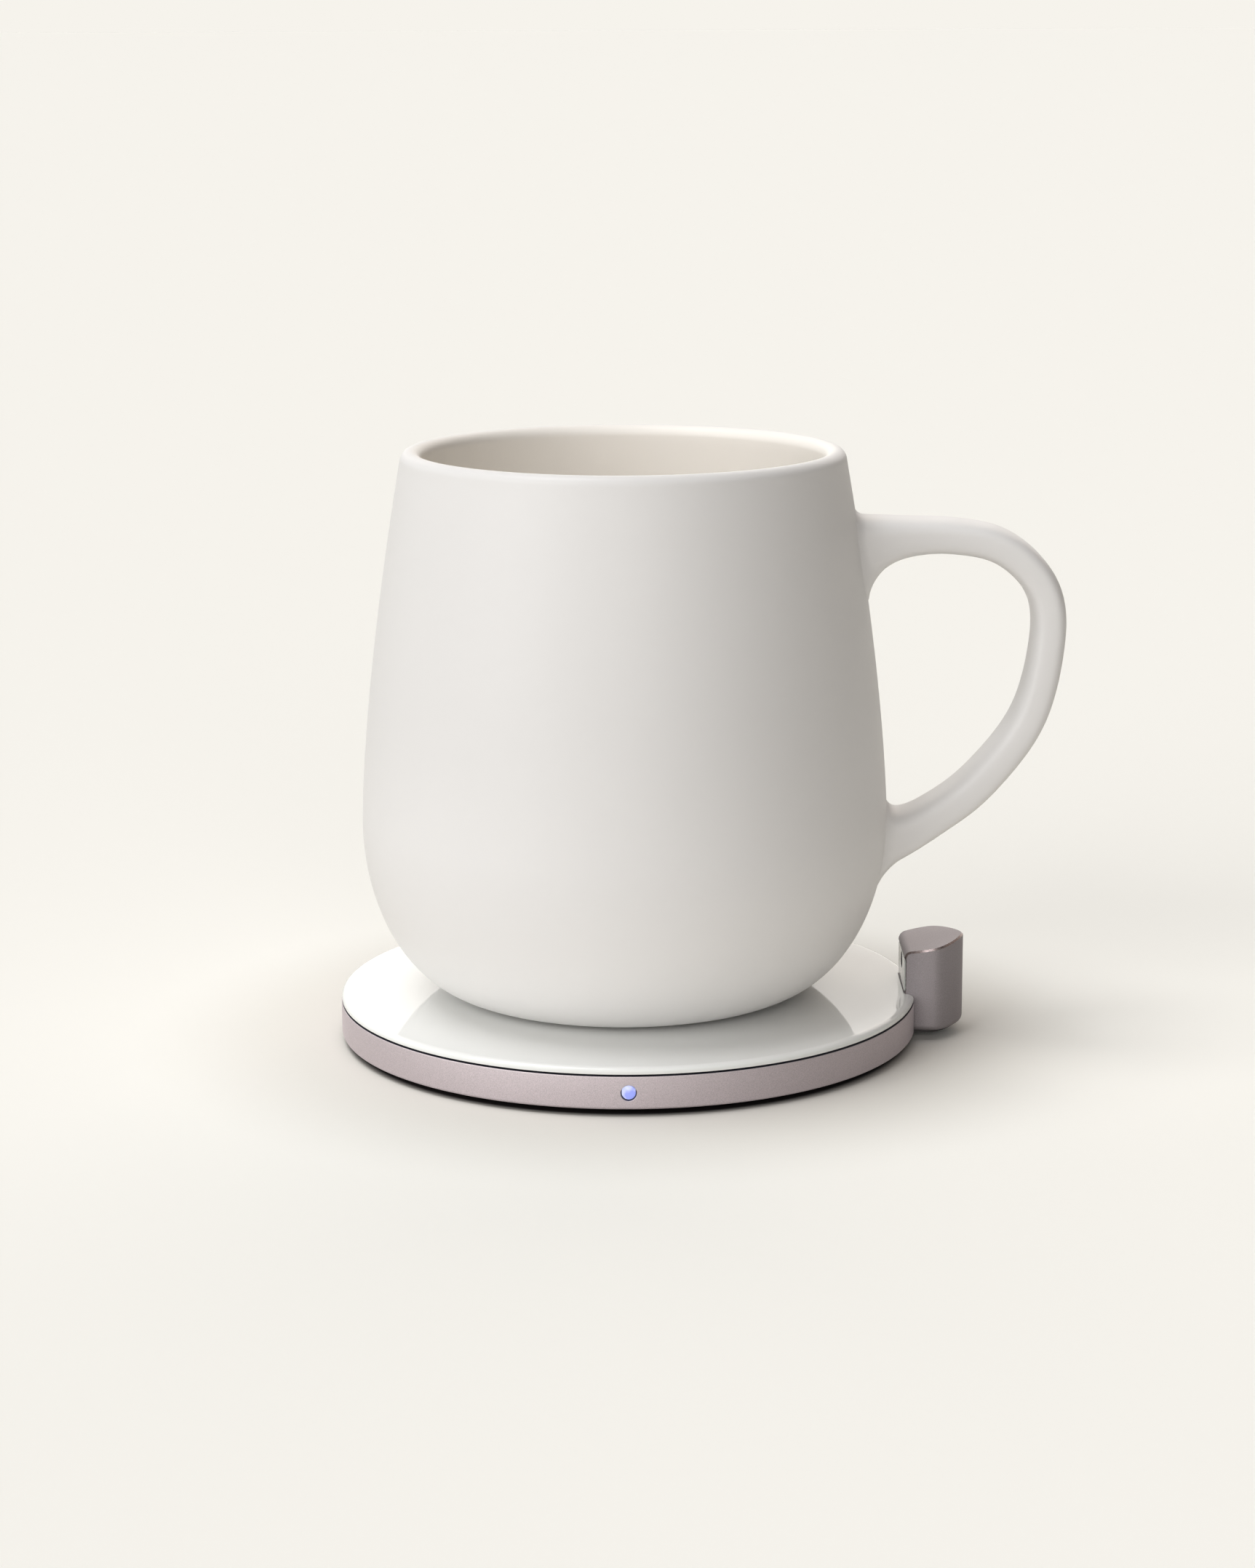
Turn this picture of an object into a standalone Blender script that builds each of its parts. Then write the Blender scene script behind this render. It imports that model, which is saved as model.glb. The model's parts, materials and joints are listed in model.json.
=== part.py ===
"""A self-heating mug on its charging pad.

The ceramic mug has a sealed heater in its base. The pad is a notched aluminium ring with a glass top, and a
small sensor tower stands in the notch. Units are metres and +Z is up. The origin lies on the table, under
the centre of the pad. The tower stands on the +X side and the status light faces -Y.
"""

import math

import bmesh
import bpy
from mathutils import Matrix, Vector

# Clearances and the overrun of cutters
seat_gap = 0.0003
side_gap = 0.0003
notch_gap = 0.0003
cutter_overrun = 0.002

# Pad, from the table up
pad_radius = 0.0500
foot_inset = 0.0040
foot_thickness = 0.0009
foot_edge = 0.0003
cover_thickness = 0.0010
ring_wall = 0.0016
ring_rim_width = 0.0011
ring_edge = 0.0003
ledge_depth = 0.0008
ledge_thickness = 0.0010
ledge_margin = 0.0001
seam_height = 0.0003
glass_inset = 0.0001
glass_thickness = 0.00115
glass_edge = 0.0005
gasket_width = 0.0022

# Inside the pad
post_radius = 0.0015
post_height = 0.0003
post_inset = 0.0050
board_margin = 0.0036
board_thickness = 0.0006
parts_band = 0.0105
carrier_floor = 0.0005
carrier_rim = 0.0008
carrier_rim_height = 0.0016
ferrite_thickness = 0.0005
coil_inner_radius = 0.0095
coil_wire_radius = 0.0005
coil_pitch = 0.0018
sensor_bead_radius = 0.0024
sensor_bead_height = 0.0013
sensor_bead_room = 0.00045
chip_side = 0.0060
chip_height = 0.0009
driver_side = 0.0050
choke_radius = 0.0032
choke_height = 0.0024
capacitor_length = 0.0058
capacitor_width = 0.0036
capacitor_height = 0.0020
part_inset = 0.0055

# Screws that hold the bottom cover, and the lugs that take them
screw_inset = 0.0052
screw_count = 4
screw_shank_radius = 0.0009
screw_head_radius = 0.0019
screw_head_height = 0.0007
screw_recess = 0.0001
screw_socket_radius = 0.0008
screw_socket_depth = 0.0004
screw_length = 0.0029
lug_radius = 0.0026

# Status light in the front of the ring
light_rise = 0.0028
light_radius = 0.00125
light_gap = 0.00022
light_recess = 0.00018
light_edge = 0.00008
led_width = 0.0016
led_depth = 0.0012
led_height = 0.0012

# Sensor tower
tower_set_in = 0.0023
tower_side_length = 0.0047
tower_nose_length = 0.0060
tower_lift = 0.0006
tower_half_width = 0.0079
tower_corner = 0.0011
tower_power = 1.5
tower_face_rise = 0.0074
tower_rise = 0.0018
tower_face_round = 0.0014
tower_side_round = 0.0006
tower_foot_round = 0.0009
tower_wall = 0.0010
tower_round_reach = 0.0030
neck_side = 0.0024
neck_overlap = 0.0030
doorway_height = 0.0024
boss_radius = 0.0012
front_boss_in = 0.0031
front_boss_side = 0.0030
outer_boss_in = 0.0026
tower_screw_length = 0.0050
tower_screw_share = 0.62
window_side = 0.0013
window_sill = 0.0003
window_head = 0.0015
window_thickness = 0.0009
window_edge = 0.00015
window_recess = 0.00004
lens_radius = 0.00115
lens_drop = 0.00165
lens_thickness = 0.0006
lens_recess = 0.00015
eye_half_width = 0.0016
eye_depth = 0.0010

# USB-C inlet in the back of the tower, standing upright
inlet_in = 0.0041
inlet_length = 0.0090
inlet_width = 0.0032
inlet_depth = 0.0066
inlet_sheet = 0.0003
inlet_set_back = 0.0003
tongue_length = 0.0067
tongue_thickness = 0.0007
tongue_depth = 0.0044
tongue_root = 0.0010
tower_board_side = 0.0033
tower_board_drop = 0.0016
tower_board_thickness = 0.0006
ribbon_thickness = 0.0003
ribbon_width = 0.0060

# Mug
mug_shift = -0.0005
mug_height = 0.0937
mug_foot_radius = 0.0260
belly_inset = 0.0048
mug_belly_height = 0.0298
rim_inset = 0.0074
mug_wall = 0.0036
mug_taper_power = 1.5
cup_floor_thickness = 0.0029
cup_floor_radius = 0.0160
cup_bowl_top = 0.0340

# Heater in the base of the mug
foot_rim_width = 0.0020
cap_recess = 0.0003
cap_thickness = 0.0010
seal_width = 0.0014
seal_thickness = 0.0006
shelf_width = 0.0020
receiver_wire_radius = 0.00045
receiver_inner_radius = 0.0085
receiver_pitch = 0.0018
shield_thickness = 0.0005
receiver_board_thickness = 0.0006
insulation_thickness = 0.0005
film_thickness = 0.0003
heater_margin = 0.0003

# Handle, a swept oval whose ends swell into the wall
handle_out = 0.0272
handle_drop = 0.01505
handle_bottom = 0.0251
handle_thickness = 0.0058
handle_width = 0.0110
handle_power = 2.2
# Each row: share of the way from the wall to the reach, share of the way from bottom to top,
# then thickness and width as shares of the handle's own.
handle_shares = (
    (-0.06, 0.958, 2.15, 1.14),
    (0.055, 0.975, 1.72, 1.09),
    (0.15, 0.991, 1.33, 1.04),
    (0.30, 1.00, 1.07, 1.01),
    (0.48, 1.00, 1.00, 1.00),
    (0.75, 0.965, 1.00, 1.00),
    (0.965, 0.835, 1.00, 1.00),
    (1.00, 0.66, 0.98, 1.00),
    (0.885, 0.408, 1.02, 1.00),
    (0.57, 0.197, 1.07, 1.01),
    (0.26, 0.080, 1.12, 1.04),
    (0.10, 0.038, 1.35, 1.09),
    (-0.065, 0.02, 1.95, 1.15),
)

# How finely round shapes are drawn
wide_steps = 56
narrow_steps = 16
wire_points_per_turn = 24
handle_steps = 3
handle_sides = 14
merge_distance = 0.00001

# Plan of the pad, worked out from its radius inwards
foot_radius = pad_radius - foot_inset
glass_radius = pad_radius - glass_inset
ring_inner = pad_radius - ring_wall
gasket_outer = pad_radius - ring_rim_width - side_gap
ledge_radius = gasket_outer - gasket_width - ledge_margin
screw_circle = ring_inner - screw_inset
board_radius = screw_circle - lug_radius - board_margin
post_circle = board_radius - post_inset
part_circle = board_radius - part_inset
carrier_radius = board_radius - parts_band
coil_room = carrier_radius - carrier_rim - side_gap - coil_wire_radius - coil_inner_radius
coil_turns = int(coil_room / coil_pitch)
light_hole_radius = light_radius + light_gap

# Levels of the pad and of the heater, from the table up
ring_low = foot_thickness + seat_gap
cover_high = ring_low + cover_thickness
board_low = cover_high + post_height + seat_gap
board_high = board_low + board_thickness
light_height = ring_low + light_rise
carrier_low = board_high + seat_gap
ferrite_low = carrier_low + carrier_floor + seat_gap
coil_low = ferrite_low + ferrite_thickness + seat_gap
glass_low = coil_low + sensor_bead_height + sensor_bead_room
glass_high = glass_low + glass_thickness
ring_high = glass_low - seam_height
ledge_high = ring_high - ledge_depth
ledge_low = ledge_high - ledge_thickness
mug_low = glass_high + seat_gap
cap_low = mug_low + cap_recess
cap_high = cap_low + cap_thickness
seal_high = cap_high + seat_gap + seal_thickness
shelf_height = seal_high + seat_gap
receiver_low = cap_high + seat_gap
shield_low = receiver_low + receiver_wire_radius + receiver_wire_radius + seat_gap
receiver_board_low = shield_low + shield_thickness + seat_gap
insulation_low = receiver_board_low + receiver_board_thickness + seat_gap
film_low = insulation_low + insulation_thickness + seat_gap
heater_top = film_low + film_thickness + seat_gap

# Places in the tower, from its flat face outwards
tower_face = pad_radius - tower_set_in
tower_bend = tower_face + tower_side_length
tower_outer = tower_bend + tower_nose_length
tower_low = ring_low + tower_lift
tower_face_top = glass_high + tower_face_rise
neck_half_width = tower_half_width - neck_side
front_boss_x = tower_face + front_boss_in
front_boss_y = front_boss_side - tower_half_width
outer_boss_x = tower_outer - outer_boss_in
window_half_width = tower_half_width - window_side
window_low = glass_high + window_sill
window_high = tower_face_top - window_head
lens_height = window_high - lens_drop
inlet_x = tower_face + inlet_in
inlet_height = (tower_low + tower_face_top) / 2
tower_board_half_width = tower_half_width - tower_board_side
tower_board_top = tower_face_top - tower_board_drop

# Sizes of the mug, whose belly stays inside the pad's edge
mug_belly_radius = pad_radius - belly_inset
mug_rim_radius = mug_belly_radius - rim_inset
lip_height = mug_height - mug_wall / 2
cup_floor_height = heater_top - mug_low + cup_floor_thickness
cap_seat_radius = mug_foot_radius - foot_rim_width
heater_radius = cap_seat_radius - shelf_width
receiver_room = heater_radius - heater_margin - receiver_wire_radius - receiver_inner_radius
receiver_turns = int(receiver_room / receiver_pitch)
handle_reach = mug_belly_radius + handle_out
handle_top = mug_height - handle_drop


def clear_scene():
    for old in list(bpy.data.objects):
        bpy.data.objects.remove(old, do_unlink=True)


def new_collection(name):
    made = bpy.data.collections.new(name)
    bpy.context.scene.collection.children.link(made)
    return made


def new_material(name, colour, roughness, metallic=0.0):
    made = bpy.data.materials.new(name)
    made.use_nodes = True
    shader = made.node_tree.nodes["Principled BSDF"]
    shader.inputs["Base Color"].default_value = (*colour, 1.0)
    shader.inputs["Roughness"].default_value = roughness
    shader.inputs["Metallic"].default_value = metallic
    made.diffuse_color = (*colour, 1.0)
    return made


clear_scene()
parts = new_collection("self_heating_mug")
helpers = new_collection("helpers")

ceramic = new_material("ceramic", (0.86, 0.85, 0.83), 0.45)
glass = new_material("white_glass", (0.82, 0.84, 0.82), 0.08)
aluminium = new_material("blasted_aluminium", (0.50, 0.46, 0.47), 0.42, 1.0)
black_rubber = new_material("black_rubber", (0.02, 0.02, 0.02), 0.7)
grey_silicone = new_material("grey_silicone", (0.12, 0.12, 0.12), 0.8)
dark_plastic = new_material("dark_plastic", (0.05, 0.05, 0.05), 0.5)
white_plastic = new_material("white_plastic", (0.75, 0.75, 0.73), 0.5)
window_plastic = new_material("window_plastic", (0.55, 0.58, 0.56), 0.1)
lit_plastic = new_material("lit_plastic", (0.70, 0.78, 1.00), 0.2)
copper = new_material("copper", (0.72, 0.40, 0.22), 0.35, 1.0)
ferrite = new_material("ferrite", (0.07, 0.07, 0.08), 0.6)
board_green = new_material("circuit_board", (0.03, 0.16, 0.08), 0.45)
film_amber = new_material("heating_film", (0.55, 0.28, 0.06), 0.35)
steel = new_material("steel", (0.60, 0.60, 0.60), 0.3, 1.0)
chip_black = new_material("chip_black", (0.03, 0.03, 0.03), 0.4)
ceramic_tan = new_material("capacitor_ceramic", (0.50, 0.38, 0.24), 0.5)


def add_object(name, mesh, material, place=(0.0, 0.0, 0.0), helper=False):
    """Puts the mesh in the model, or among the helpers that only cut or join."""
    made = bpy.data.objects.new(name, mesh)
    made.location = place
    (helpers if helper else parts).objects.link(made)
    if helper:
        made.hide_render = True
        made.display_type = "WIRE"
    if material:
        mesh.materials.append(material)
    return made


def finish_mesh(name, shape, smooth=True):
    mesh = bpy.data.meshes.new(name)
    bmesh.ops.recalc_face_normals(shape, faces=shape.faces)
    shape.to_mesh(mesh)
    shape.free()
    if smooth:
        mesh.shade_smooth()
        mesh.set_sharp_from_angle(angle=math.radians(35))
    return mesh


def round_edges(obj, width, segments=2, angle=40):
    bevel = obj.modifiers.new("round_edges", "BEVEL")
    bevel.width = width
    bevel.segments = segments
    bevel.limit_method = "ANGLE"
    bevel.angle_limit = math.radians(angle)


def apply_boolean(obj, other, operation="DIFFERENCE"):
    boolean = obj.modifiers.new(other.name, "BOOLEAN")
    boolean.operation = operation
    boolean.solver = "EXACT"
    boolean.object = other


def turned(name, profile, material, closed=True, steps=wide_steps, place=(0.0, 0.0, 0.0), helper=False):
    """A turned body. The profile lists (radius, height) and runs down its outer side, top to bottom."""
    count = len(profile)
    edges = [(i, i + 1) for i in range(count - 1)]
    if closed:
        edges.append((count - 1, 0))
    mesh = bpy.data.meshes.new(name)
    mesh.from_pydata([(radius, 0.0, height) for radius, height in profile], edges, [])
    made = add_object(name, mesh, material, place, helper)
    screw = made.modifiers.new("turn", "SCREW")
    screw.axis = "Z"
    screw.steps = steps
    screw.render_steps = steps
    screw.use_merge_vertices = True
    screw.merge_threshold = merge_distance
    screw.use_smooth_shade = True
    return made


def disc_profile(radius, low, high, edge=0.0):
    """Half section of a solid disc, from the axis over the top to the axis again."""
    if not edge:
        return [(0.0, high), (radius, high), (radius, low), (0.0, low)]
    return [
        (0.0, high),
        (radius - edge, high),
        (radius, high - edge),
        (radius, low + edge),
        (radius - edge, low),
        (0.0, low),
    ]


def washer_profile(inner, outer, low, high):
    return [(inner, high), (outer, high), (outer, low), (inner, low)]


def cylinder(name, radius, low, high, material, place=(0.0, 0.0), steps=narrow_steps, helper=False):
    shape = bmesh.new()
    bmesh.ops.create_cone(
        shape, cap_ends=True, segments=steps, radius1=radius, radius2=radius, depth=high - low
    )
    mesh = finish_mesh(name, shape)
    return add_object(name, mesh, material, (place[0], place[1], (low + high) / 2), helper)


def lying_cylinder(name, radius, start, end, material, axis, helper=False):
    """A cylinder between two points that differ along the named axis."""
    shape = bmesh.new()
    length = (Vector(end) - Vector(start)).length
    bmesh.ops.create_cone(
        shape, cap_ends=True, segments=narrow_steps, radius1=radius, radius2=radius, depth=length
    )
    turn = Matrix.Rotation(math.pi / 2, 4, "Y" if axis == "X" else "X")
    bmesh.ops.transform(shape, matrix=turn, verts=shape.verts)
    middle = (Vector(start) + Vector(end)) / 2
    return add_object(name, finish_mesh(name, shape), material, middle, helper)


def block(name, low, high, material, edge=0.0, helper=False):
    """A box between two corners."""
    shape = bmesh.new()
    bmesh.ops.create_cube(shape, size=1.0)
    size = Vector(high) - Vector(low)
    bmesh.ops.scale(shape, vec=size, verts=shape.verts)
    middle = (Vector(low) + Vector(high)) / 2
    made = add_object(name, finish_mesh(name, shape, smooth=False), material, middle, helper)
    if edge:
        round_edges(made, edge)
    return made


def loft(name, rings, material, place=(0.0, 0.0, 0.0), helper=False):
    """Skins rings of equal count and closes both ends with a face."""
    shape = bmesh.new()
    rows = [[shape.verts.new(point) for point in ring] for ring in rings]
    count = len(rows[0])
    for row, following in zip(rows, rows[1:]):
        for i in range(count):
            j = (i + 1) % count
            shape.faces.new((row[i], row[j], following[j], following[i]))
    shape.faces.new(rows[0])
    shape.faces.new(rows[-1])
    return add_object(name, finish_mesh(name, shape), material, place, helper)


def prism(name, outline, low, high, material, helper=False):
    """An upright wall round the outline. Each end is a height, or a function of (x, y)."""
    low_of = low if callable(low) else lambda x, y: low
    high_of = high if callable(high) else lambda x, y: high
    rings = [
        [(x, y, low_of(x, y)) for x, y in outline],
        [(x, y, high_of(x, y)) for x, y in outline],
    ]
    return loft(name, rings, material, helper=helper)


def arc(centre_x, centre_y, radius_x, radius_y, start, end, count):
    """Points from angle start to angle end, in degrees, both ends included."""
    points = []
    for i in range(count):
        angle = math.radians(start + (end - start) * i / (count - 1))
        points.append((centre_x + radius_x * math.cos(angle), centre_y + radius_y * math.sin(angle)))
    return points


def on_circle(radius, degrees):
    return (radius * math.cos(math.radians(degrees)), radius * math.sin(math.radians(degrees)))


def wire_coil(name, inner, pitch, turns, wire_radius, low, material, place_x=0.0):
    """One flat spiral of round wire. Prints the least gap between its turns."""
    height = low + wire_radius
    count = turns * wire_points_per_turn + 1
    points = []
    for i in range(count):
        turn = i / wire_points_per_turn
        radius = inner + pitch * turn
        angle = math.tau * turn
        points.append(Vector((radius * math.cos(angle), radius * math.sin(angle), height)))
    gap = min(
        (points[i] - points[j]).length
        for i in range(count)
        for j in range(i + wire_points_per_turn // 2, count)
    )
    print(f"{name}: least gap between turns {(gap - wire_radius - wire_radius) * 1000:.2f} mm")
    curve = bpy.data.curves.new(name, "CURVE")
    curve.dimensions = "3D"
    curve.bevel_depth = wire_radius
    curve.bevel_resolution = 1
    curve.use_fill_caps = True
    spline = curve.splines.new("POLY")
    spline.points.add(count - 1)
    for point, spot in zip(spline.points, points):
        point.co = (*spot, 1.0)
    made = bpy.data.objects.new(name, curve)
    made.location = (place_x, 0.0, 0.0)
    curve.materials.append(material)
    parts.objects.link(made)
    return made


def tower_outline(grow_face=0.0, grow_side=0.0):
    """Plan of the tower: a flat face at -X, straight sides and a blunt nose at +X."""
    face = tower_face - grow_face
    half = tower_half_width + grow_side
    corner = max(tower_corner + min(grow_face, grow_side), side_gap)
    nose = tower_outer + grow_side - tower_bend
    outline = arc(face + corner, half - corner, corner, corner, 180, 90, 4)
    nose_points = 17
    for i in range(nose_points):
        angle = math.radians(90 - 180 * i / (nose_points - 1))
        power = 2 / tower_power
        x = tower_bend + nose * abs(math.cos(angle)) ** power
        y = math.copysign(half * abs(math.sin(angle)) ** power, math.sin(angle))
        outline.append((x, y))
    outline += arc(face + corner, corner - half, corner, corner, 270, 180, 4)
    return outline


def tower_top(x, drop=0.0):
    """Height of the sloping top, which rises from the flat face to the nose."""
    slope = tower_rise / (tower_outer - tower_face)
    return tower_face_top + slope * (x - tower_face) - drop


def outer_radius(height):
    """Radius of the mug's outside at a height above its foot."""
    if height < mug_belly_height:
        share = 1 - height / mug_belly_height
        return mug_foot_radius + (mug_belly_radius - mug_foot_radius) * math.sqrt(1 - share * share)
    share = (height - mug_belly_height) / (lip_height - mug_belly_height)
    return mug_belly_radius - (mug_belly_radius - mug_rim_radius) * share**mug_taper_power


def smooth_rows(rows, steps):
    """Catmull-Rom curve through rows of numbers, with the same steps in every span."""
    made = []
    last = len(rows) - 1
    for i in range(last):
        before = rows[max(i - 1, 0)]
        here = rows[i]
        after = rows[i + 1]
        beyond = rows[min(i + 2, last)]
        for step in range(steps):
            t = step / steps
            made.append(
                tuple(
                    b + t * (c - a) / 2 + t * t * (a - 2.5 * b + 2 * c - d / 2)
                    + t**3 * (1.5 * (b - c) + (d - a) / 2)
                    for a, b, c, d in zip(before, here, after, beyond)
                )
            )
    made.append(rows[last])
    return made


def handle_rings():
    """Oval sections along the handle, square to its path but upright inside the wall."""
    rows = []
    for way, rise, thickness, width in smooth_rows(handle_shares, handle_steps):
        height = handle_bottom + rise * (handle_top - handle_bottom)
        wall = outer_radius(height)
        reach = wall + way * (handle_reach - wall)
        rows.append((Vector((reach, 0.0, height)), thickness * handle_thickness, width * handle_width))
    rings = []
    last = len(rows) - 1
    for i, (centre, thickness, width) in enumerate(rows):
        along = (rows[min(i + 1, last)][0] - rows[max(i - 1, 0)][0]).normalized()
        if i == 0:
            along = Vector((1.0, 0.0, 0.0))
        if i == last:
            along = Vector((-1.0, 0.0, 0.0))
        outward = Vector((-along.z, 0.0, along.x))
        ring = []
        for side in range(handle_sides):
            angle = math.tau * side / handle_sides
            power = 2 / handle_power
            rise = math.copysign(abs(math.cos(angle)) ** power, math.cos(angle)) * thickness / 2
            aside = math.copysign(abs(math.sin(angle)) ** power, math.sin(angle)) * width / 2
            ring.append(centre + outward * rise + Vector((0.0, aside, 0.0)))
        rings.append(ring)
    return rings


def make_mug_body():
    """The cup, its rounded lip, the heater recess under it and the handle, in one piece of ceramic."""
    profile = [(0.0, cup_floor_height), (cup_floor_radius, cup_floor_height)]
    bowl_half = outer_radius(cup_bowl_top) - mug_wall - cup_floor_radius
    bowl_depth = cup_bowl_top - cup_floor_height
    profile += arc(cup_floor_radius, cup_bowl_top, bowl_half, bowl_depth, -90, 0, 8)[1:]
    wall_rows = 4
    for i in range(1, wall_rows):
        height = cup_bowl_top + (lip_height - cup_bowl_top) * i / wall_rows
        profile.append((outer_radius(height) - mug_wall, height))
    lip_radius = mug_wall / 2
    profile += arc(mug_rim_radius - lip_radius, lip_height, lip_radius, lip_radius, 190, 10, 7)
    taper_rows = 7
    for i in range(1, taper_rows + 1):
        height = lip_height + (mug_belly_height - lip_height) * i / taper_rows
        profile.append((outer_radius(height), height))
    half = mug_belly_radius - mug_foot_radius
    profile += arc(mug_foot_radius, mug_belly_height, half, mug_belly_height, 0, -90, 9)[1:]
    shelf = shelf_height - mug_low
    profile += [
        (cap_seat_radius, 0.0),
        (cap_seat_radius, shelf),
        (heater_radius, shelf),
        (heater_radius, heater_top - mug_low),
        (0.0, heater_top - mug_low),
    ]
    place = (mug_shift, 0.0, mug_low)
    body = turned("mug_body", profile, ceramic, closed=False, place=place)
    handle = loft("handle_form", handle_rings(), None, place, helper=True)
    apply_boolean(body, handle, "UNION")
    return body


def make_heater():
    """What the recess in the mug's base holds, from the cap up to the heating film."""
    place = (mug_shift, 0.0, 0.0)
    inner = heater_radius - heater_margin
    cap = disc_profile(cap_seat_radius - side_gap, cap_low, cap_high, cap_recess)
    turned("base_cap", cap, white_plastic, closed=False, place=place)
    seal_outer = cap_seat_radius - side_gap
    seal = washer_profile(seal_outer - seal_width, seal_outer, cap_high + seat_gap, seal_high)
    turned("base_seal", seal, grey_silicone, steps=wide_steps // 2, place=place)
    wire_coil(
        "receiver_coil",
        receiver_inner_radius,
        receiver_pitch,
        receiver_turns,
        receiver_wire_radius,
        receiver_low,
        copper,
        mug_shift,
    )
    steps = wide_steps // 2
    shield = disc_profile(inner, shield_low, shield_low + shield_thickness)
    turned("receiver_shield", shield, ferrite, closed=False, steps=steps, place=place)
    board = washer_profile(
        receiver_inner_radius, inner, receiver_board_low, receiver_board_low + receiver_board_thickness
    )
    turned("receiver_board", board, board_green, steps=steps, place=place)
    insulation = disc_profile(inner, insulation_low, insulation_low + insulation_thickness)
    turned("insulation_disc", insulation, white_plastic, closed=False, steps=steps, place=place)
    film = disc_profile(inner, film_low, film_low + film_thickness)
    turned("heating_film", film, film_amber, closed=False, steps=steps, place=place)


def notch_cutter(name, low, high):
    """The tower's plan with its clearance, which cuts the pad's parts."""
    outline = tower_outline(notch_gap, notch_gap)
    return prism(name, outline, low - cutter_overrun, high + cutter_overrun, None, helper=True)


def make_glass():
    edge = arc(glass_radius - glass_edge, glass_high - glass_edge, glass_edge, glass_edge, 90, 0, 4)
    profile = [(0.0, glass_high)] + edge
    profile += [(glass_radius, glass_low + ring_edge / 2), (glass_radius - ring_edge / 2, glass_low)]
    profile += [(0.0, glass_low)]
    plate = turned("glass_top", profile, glass, closed=False)
    apply_boolean(plate, notch_cutter("glass_notch", glass_low, glass_high))
    gasket = washer_profile(
        gasket_outer - gasket_width, gasket_outer, ledge_high + seat_gap, glass_low - seat_gap
    )
    seal = turned("glass_gasket", gasket, black_rubber)
    apply_boolean(seal, notch_cutter("gasket_notch", ledge_high, glass_low))


def screw_angles():
    return [45 + 360 * i / screw_count for i in range(screw_count)]


def make_ring():
    """The aluminium ring: an outer wall, a ledge for the glass, four lugs, a notch and a light hole."""
    rim_inner = pad_radius - ring_rim_width
    profile = [
        (rim_inner, ring_high),
        (pad_radius - ring_edge, ring_high),
        (pad_radius, ring_high - ring_edge),
        (pad_radius, ring_low + ring_edge),
        (pad_radius - ring_edge, ring_low),
        (ring_inner, ring_low),
        (ring_inner, ledge_low),
        (ledge_radius, ledge_low),
        (ledge_radius, ledge_high),
        (rim_inner, ledge_high),
    ]
    ring = turned("ring_housing", profile, aluminium)
    lug_low = cover_high + seat_gap
    lug_top = ledge_high - ledge_thickness / 2
    for i, angle in enumerate(screw_angles()):
        lug = make_lug(f"lug_form_{i + 1}", angle, lug_low, lug_top)
        apply_boolean(ring, lug, "UNION")
        spot = on_circle(screw_circle, angle)
        drill = screw_shank_radius + side_gap
        hole_top = ring_low + screw_recess + screw_length + seat_gap
        hole = cylinder(
            f"lug_hole_{i + 1}", drill, lug_low - cutter_overrun, hole_top, None, spot, 12, helper=True
        )
        apply_boolean(ring, hole)
    apply_boolean(ring, notch_cutter("ring_notch", ring_low, ring_high))
    light = lying_cylinder(
        "light_hole",
        light_hole_radius,
        (0.0, -pad_radius - cutter_overrun, light_height),
        (0.0, -ledge_radius + cutter_overrun, light_height),
        None,
        "Y",
        helper=True,
    )
    apply_boolean(ring, light)


def make_lug(name, angle, low, high):
    """A round-ended lug that reaches from the ring's wall in to its screw."""
    outward = Vector(on_circle(1.0, angle)).to_3d()
    aside = Vector((-outward.y, outward.x, 0.0))
    centre = outward * screw_circle
    root = outward * (ring_inner + ring_wall / 2)
    outline = [root - aside * lug_radius]
    for along, across in reversed(arc(0.0, 0.0, lug_radius, lug_radius, 90, 270, 7)):
        outline.append(centre + outward * along + aside * across)
    outline.append(root + aside * lug_radius)
    return prism(name, [(point.x, point.y) for point in outline], low, high, None, helper=True)


def make_screw(name, spot, low, length, share=1.0):
    """A flat-headed screw that points up, with a socket in its head, as wide as its share."""
    shank = screw_shank_radius * share
    head = screw_head_radius * share
    socket = screw_socket_radius * share
    profile = [
        (0.0, low + length),
        (shank, low + length),
        (shank, low + screw_head_height),
        (head, low + screw_head_height / 4),
        (head, low),
        (socket, low),
        (socket, low + screw_socket_depth),
        (0.0, low + screw_socket_depth),
    ]
    return turned(name, profile, steel, closed=False, steps=12, place=(*spot, 0.0))


def screw_seat(name, spot, share=1.0):
    """The countersunk hole for a screw in the bottom cover."""
    shank = screw_shank_radius * share + side_gap
    head = screw_head_radius * share + side_gap
    profile = [
        (0.0, cover_high + cutter_overrun),
        (shank, cover_high + cutter_overrun),
        (shank, ring_low + screw_recess + screw_head_height + seat_gap),
        (head, ring_low + screw_recess + screw_head_height / 4 + seat_gap),
        (head, ring_low - cutter_overrun),
        (0.0, ring_low - cutter_overrun),
    ]
    return turned(name, profile, None, closed=False, steps=16, place=(*spot, 0.0), helper=True)


def tower_screw_spots():
    return [(front_boss_x, front_boss_y), (outer_boss_x, 0.0)]


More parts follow.
